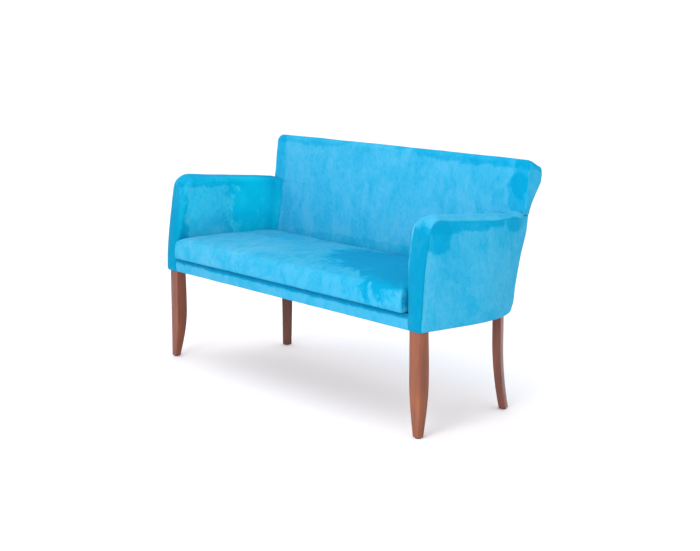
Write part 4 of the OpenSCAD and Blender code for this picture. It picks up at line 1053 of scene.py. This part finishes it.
apron = surface("apron_band", [apron_grid()], apron_velvet, flip=True)
relief(apron, apron_relief)
thicken(apron, APRON_LINING_T)
ride(apron, "cover_fabric", "apron_cover")


# Legs, with softened arrises.
ARRIS_R, FOOT_R = 2.6, 2.0


def rounded_box(x0, x1, y0, y1):
    r = ARRIS_R
    pts = []
    for cx, cy, a0 in ((x1 - r, y0 + r, -90), (x1 - r, y1 - r, 0), (x0 + r, y1 - r, 90), (x0 + r, y0 + r, 180)):
        pts += arc(cx, cy, r, a0, 5)
    return pts + [pts[0]]


def leg_levels(z0, z1):
    ends = [0, 0.5, 1.2, 2]
    return [z0 + e for e in ends] + list(np.linspace(z0 + 5, z1, 60))


def front_leg_rows():
    rows = []
    out_x = HALF_W - LEG_INSET
    for z in leg_levels(GLIDE_H, HEM_H + 6):
        if z < LEG_TAPER:
            d = mix(LEG_FOOT_D, LEG_D + LEG_SWELL, sin(90 * z / LEG_TAPER))
        else:
            d = LEG_D + LEG_SWELL * cos(90 * (min(z, HEM_H) - LEG_TAPER) / (HEM_H - LEG_TAPER))
        w = mix(LEG_FOOT_W, LEG_W, sin(90 * min(1, z / LEG_TAPER)))
        k = roll(z - GLIDE_H, FOOT_R)
        rows.append([(x, y, z) for x, y in rounded_box(out_x - w + k, out_x - k, k, d - k)])
    return rows


def back_leg_rows():
    rows = []
    ca, sa = cos(REAR_TURN), sin(REAR_TURN)
    for z in leg_levels(GLIDE_H, HEM_H + 4):
        share = mix(REAR_TAPER, 1, min(1, z / REAR_BEND))
        bend = REAR_SWEEP * (1 - min(1, z / REAR_BEND)) ** 2
        k = roll(z - GLIDE_H, FOOT_R)
        b, t = REAR_B / 2 * share - k, REAR_T / 2 * share - k
        rows.append([(REAR_X + x * ca - y * sa, REAR_Y + x * sa + y * ca, z)
                     for x, y in rounded_box(bend - b, bend + b, -t, t)])
    return rows


for side, mirror in SIDES:
    for end, rows in (("front", front_leg_rows()), ("back", back_leg_rows())):
        leg = surface(f"{end}_leg_wood_{side}", [rows], leg_wood[end, side], mirror=mirror)
        close_ends(leg)
        ride(leg, "leg_wood", f"{end}_leg_{side}")


# Finishes of the solids that stay as they are.
finish_of = {"frame_wood": beech, "board": board, "foam": foam, "webbing": webbing, "dust_cloth": dust_cloth,
             "glide": nylon, "fastener": steel, "leg_wood": mahogany, "cover_fabric": side_velvet}
slots = {s["node"]: s["material_slot"] for s in frame["record"]["subparts"]}
for node, obj in frame["nodes"].items():
    for i in range(len(obj.material_slots)):
        obj.material_slots[i].material = finish_of[slots[node]]


# Floor, light and camera, in metres and degrees.
FLOOR_HALF = 14.0
LIT_POINT = (0, 0, 0.4)
CAMERA_AT, CAMERA_DOWN, CAMERA_TURN = (4.073, -3.1121, 1.2732), 9.83, 52.31


def flat_floor():
    mesh = bpy.data.meshes.new("floor")
    r = FLOOR_HALF
    mesh.from_pydata([(-r, -r, 0), (r, -r, 0), (r, r, 0), (-r, r, 0)], [], [(0, 1, 2, 3)])
    floor = bpy.data.objects.new("floor", mesh)
    bpy.context.scene.collection.objects.link(floor)
    t = Tree("pale_floor")
    t.link(t.ramp(t.noise(0.8, 2.0, 0.5), [(0.3, (0.925, 0.9, 0.925)), (0.7, (0.94, 0.915, 0.94))]), "Base Color")
    t.shader.inputs["Roughness"].default_value = 0.8
    mesh.materials.append(t.material)


def area_light(name, where, size, power):
    data = bpy.data.lights.new(name, "AREA")
    data.shape, data.size, data.energy = "DISK", size, power
    light = bpy.data.objects.new(name, data)
    light.location = where
    light.rotation_euler = (Vector(LIT_POINT) - Vector(where)).to_track_quat("-Z", "Y").to_euler()
    bpy.context.scene.collection.objects.link(light)


flat_floor()
world = bpy.data.worlds.new("studio")
world.use_nodes = True
world.node_tree.nodes["Background"].inputs["Color"].default_value = (1.0, 1.0, 1.0, 1)
world.node_tree.nodes["Background"].inputs["Strength"].default_value = 1.2
bpy.context.scene.world = world
area_light("top", (0.1, -0.4, 3.6), 2.2, 14)
area_light("front", (2.2, -4.6, 2.4), 3.0, 150)
bpy.context.scene.view_settings.view_transform = "Standard"

camera_data = bpy.data.cameras.new("camera")
camera_data.lens = 75.7
camera_data.sensor_width = 36.0
camera_data.clip_end = 60.0
camera = bpy.data.objects.new("camera", camera_data)
camera.location = CAMERA_AT
camera.rotation_euler = (math.radians(90 - CAMERA_DOWN), 0.0, math.radians(CAMERA_TURN))
bpy.context.scene.collection.objects.link(camera)
bpy.context.scene.camera = camera
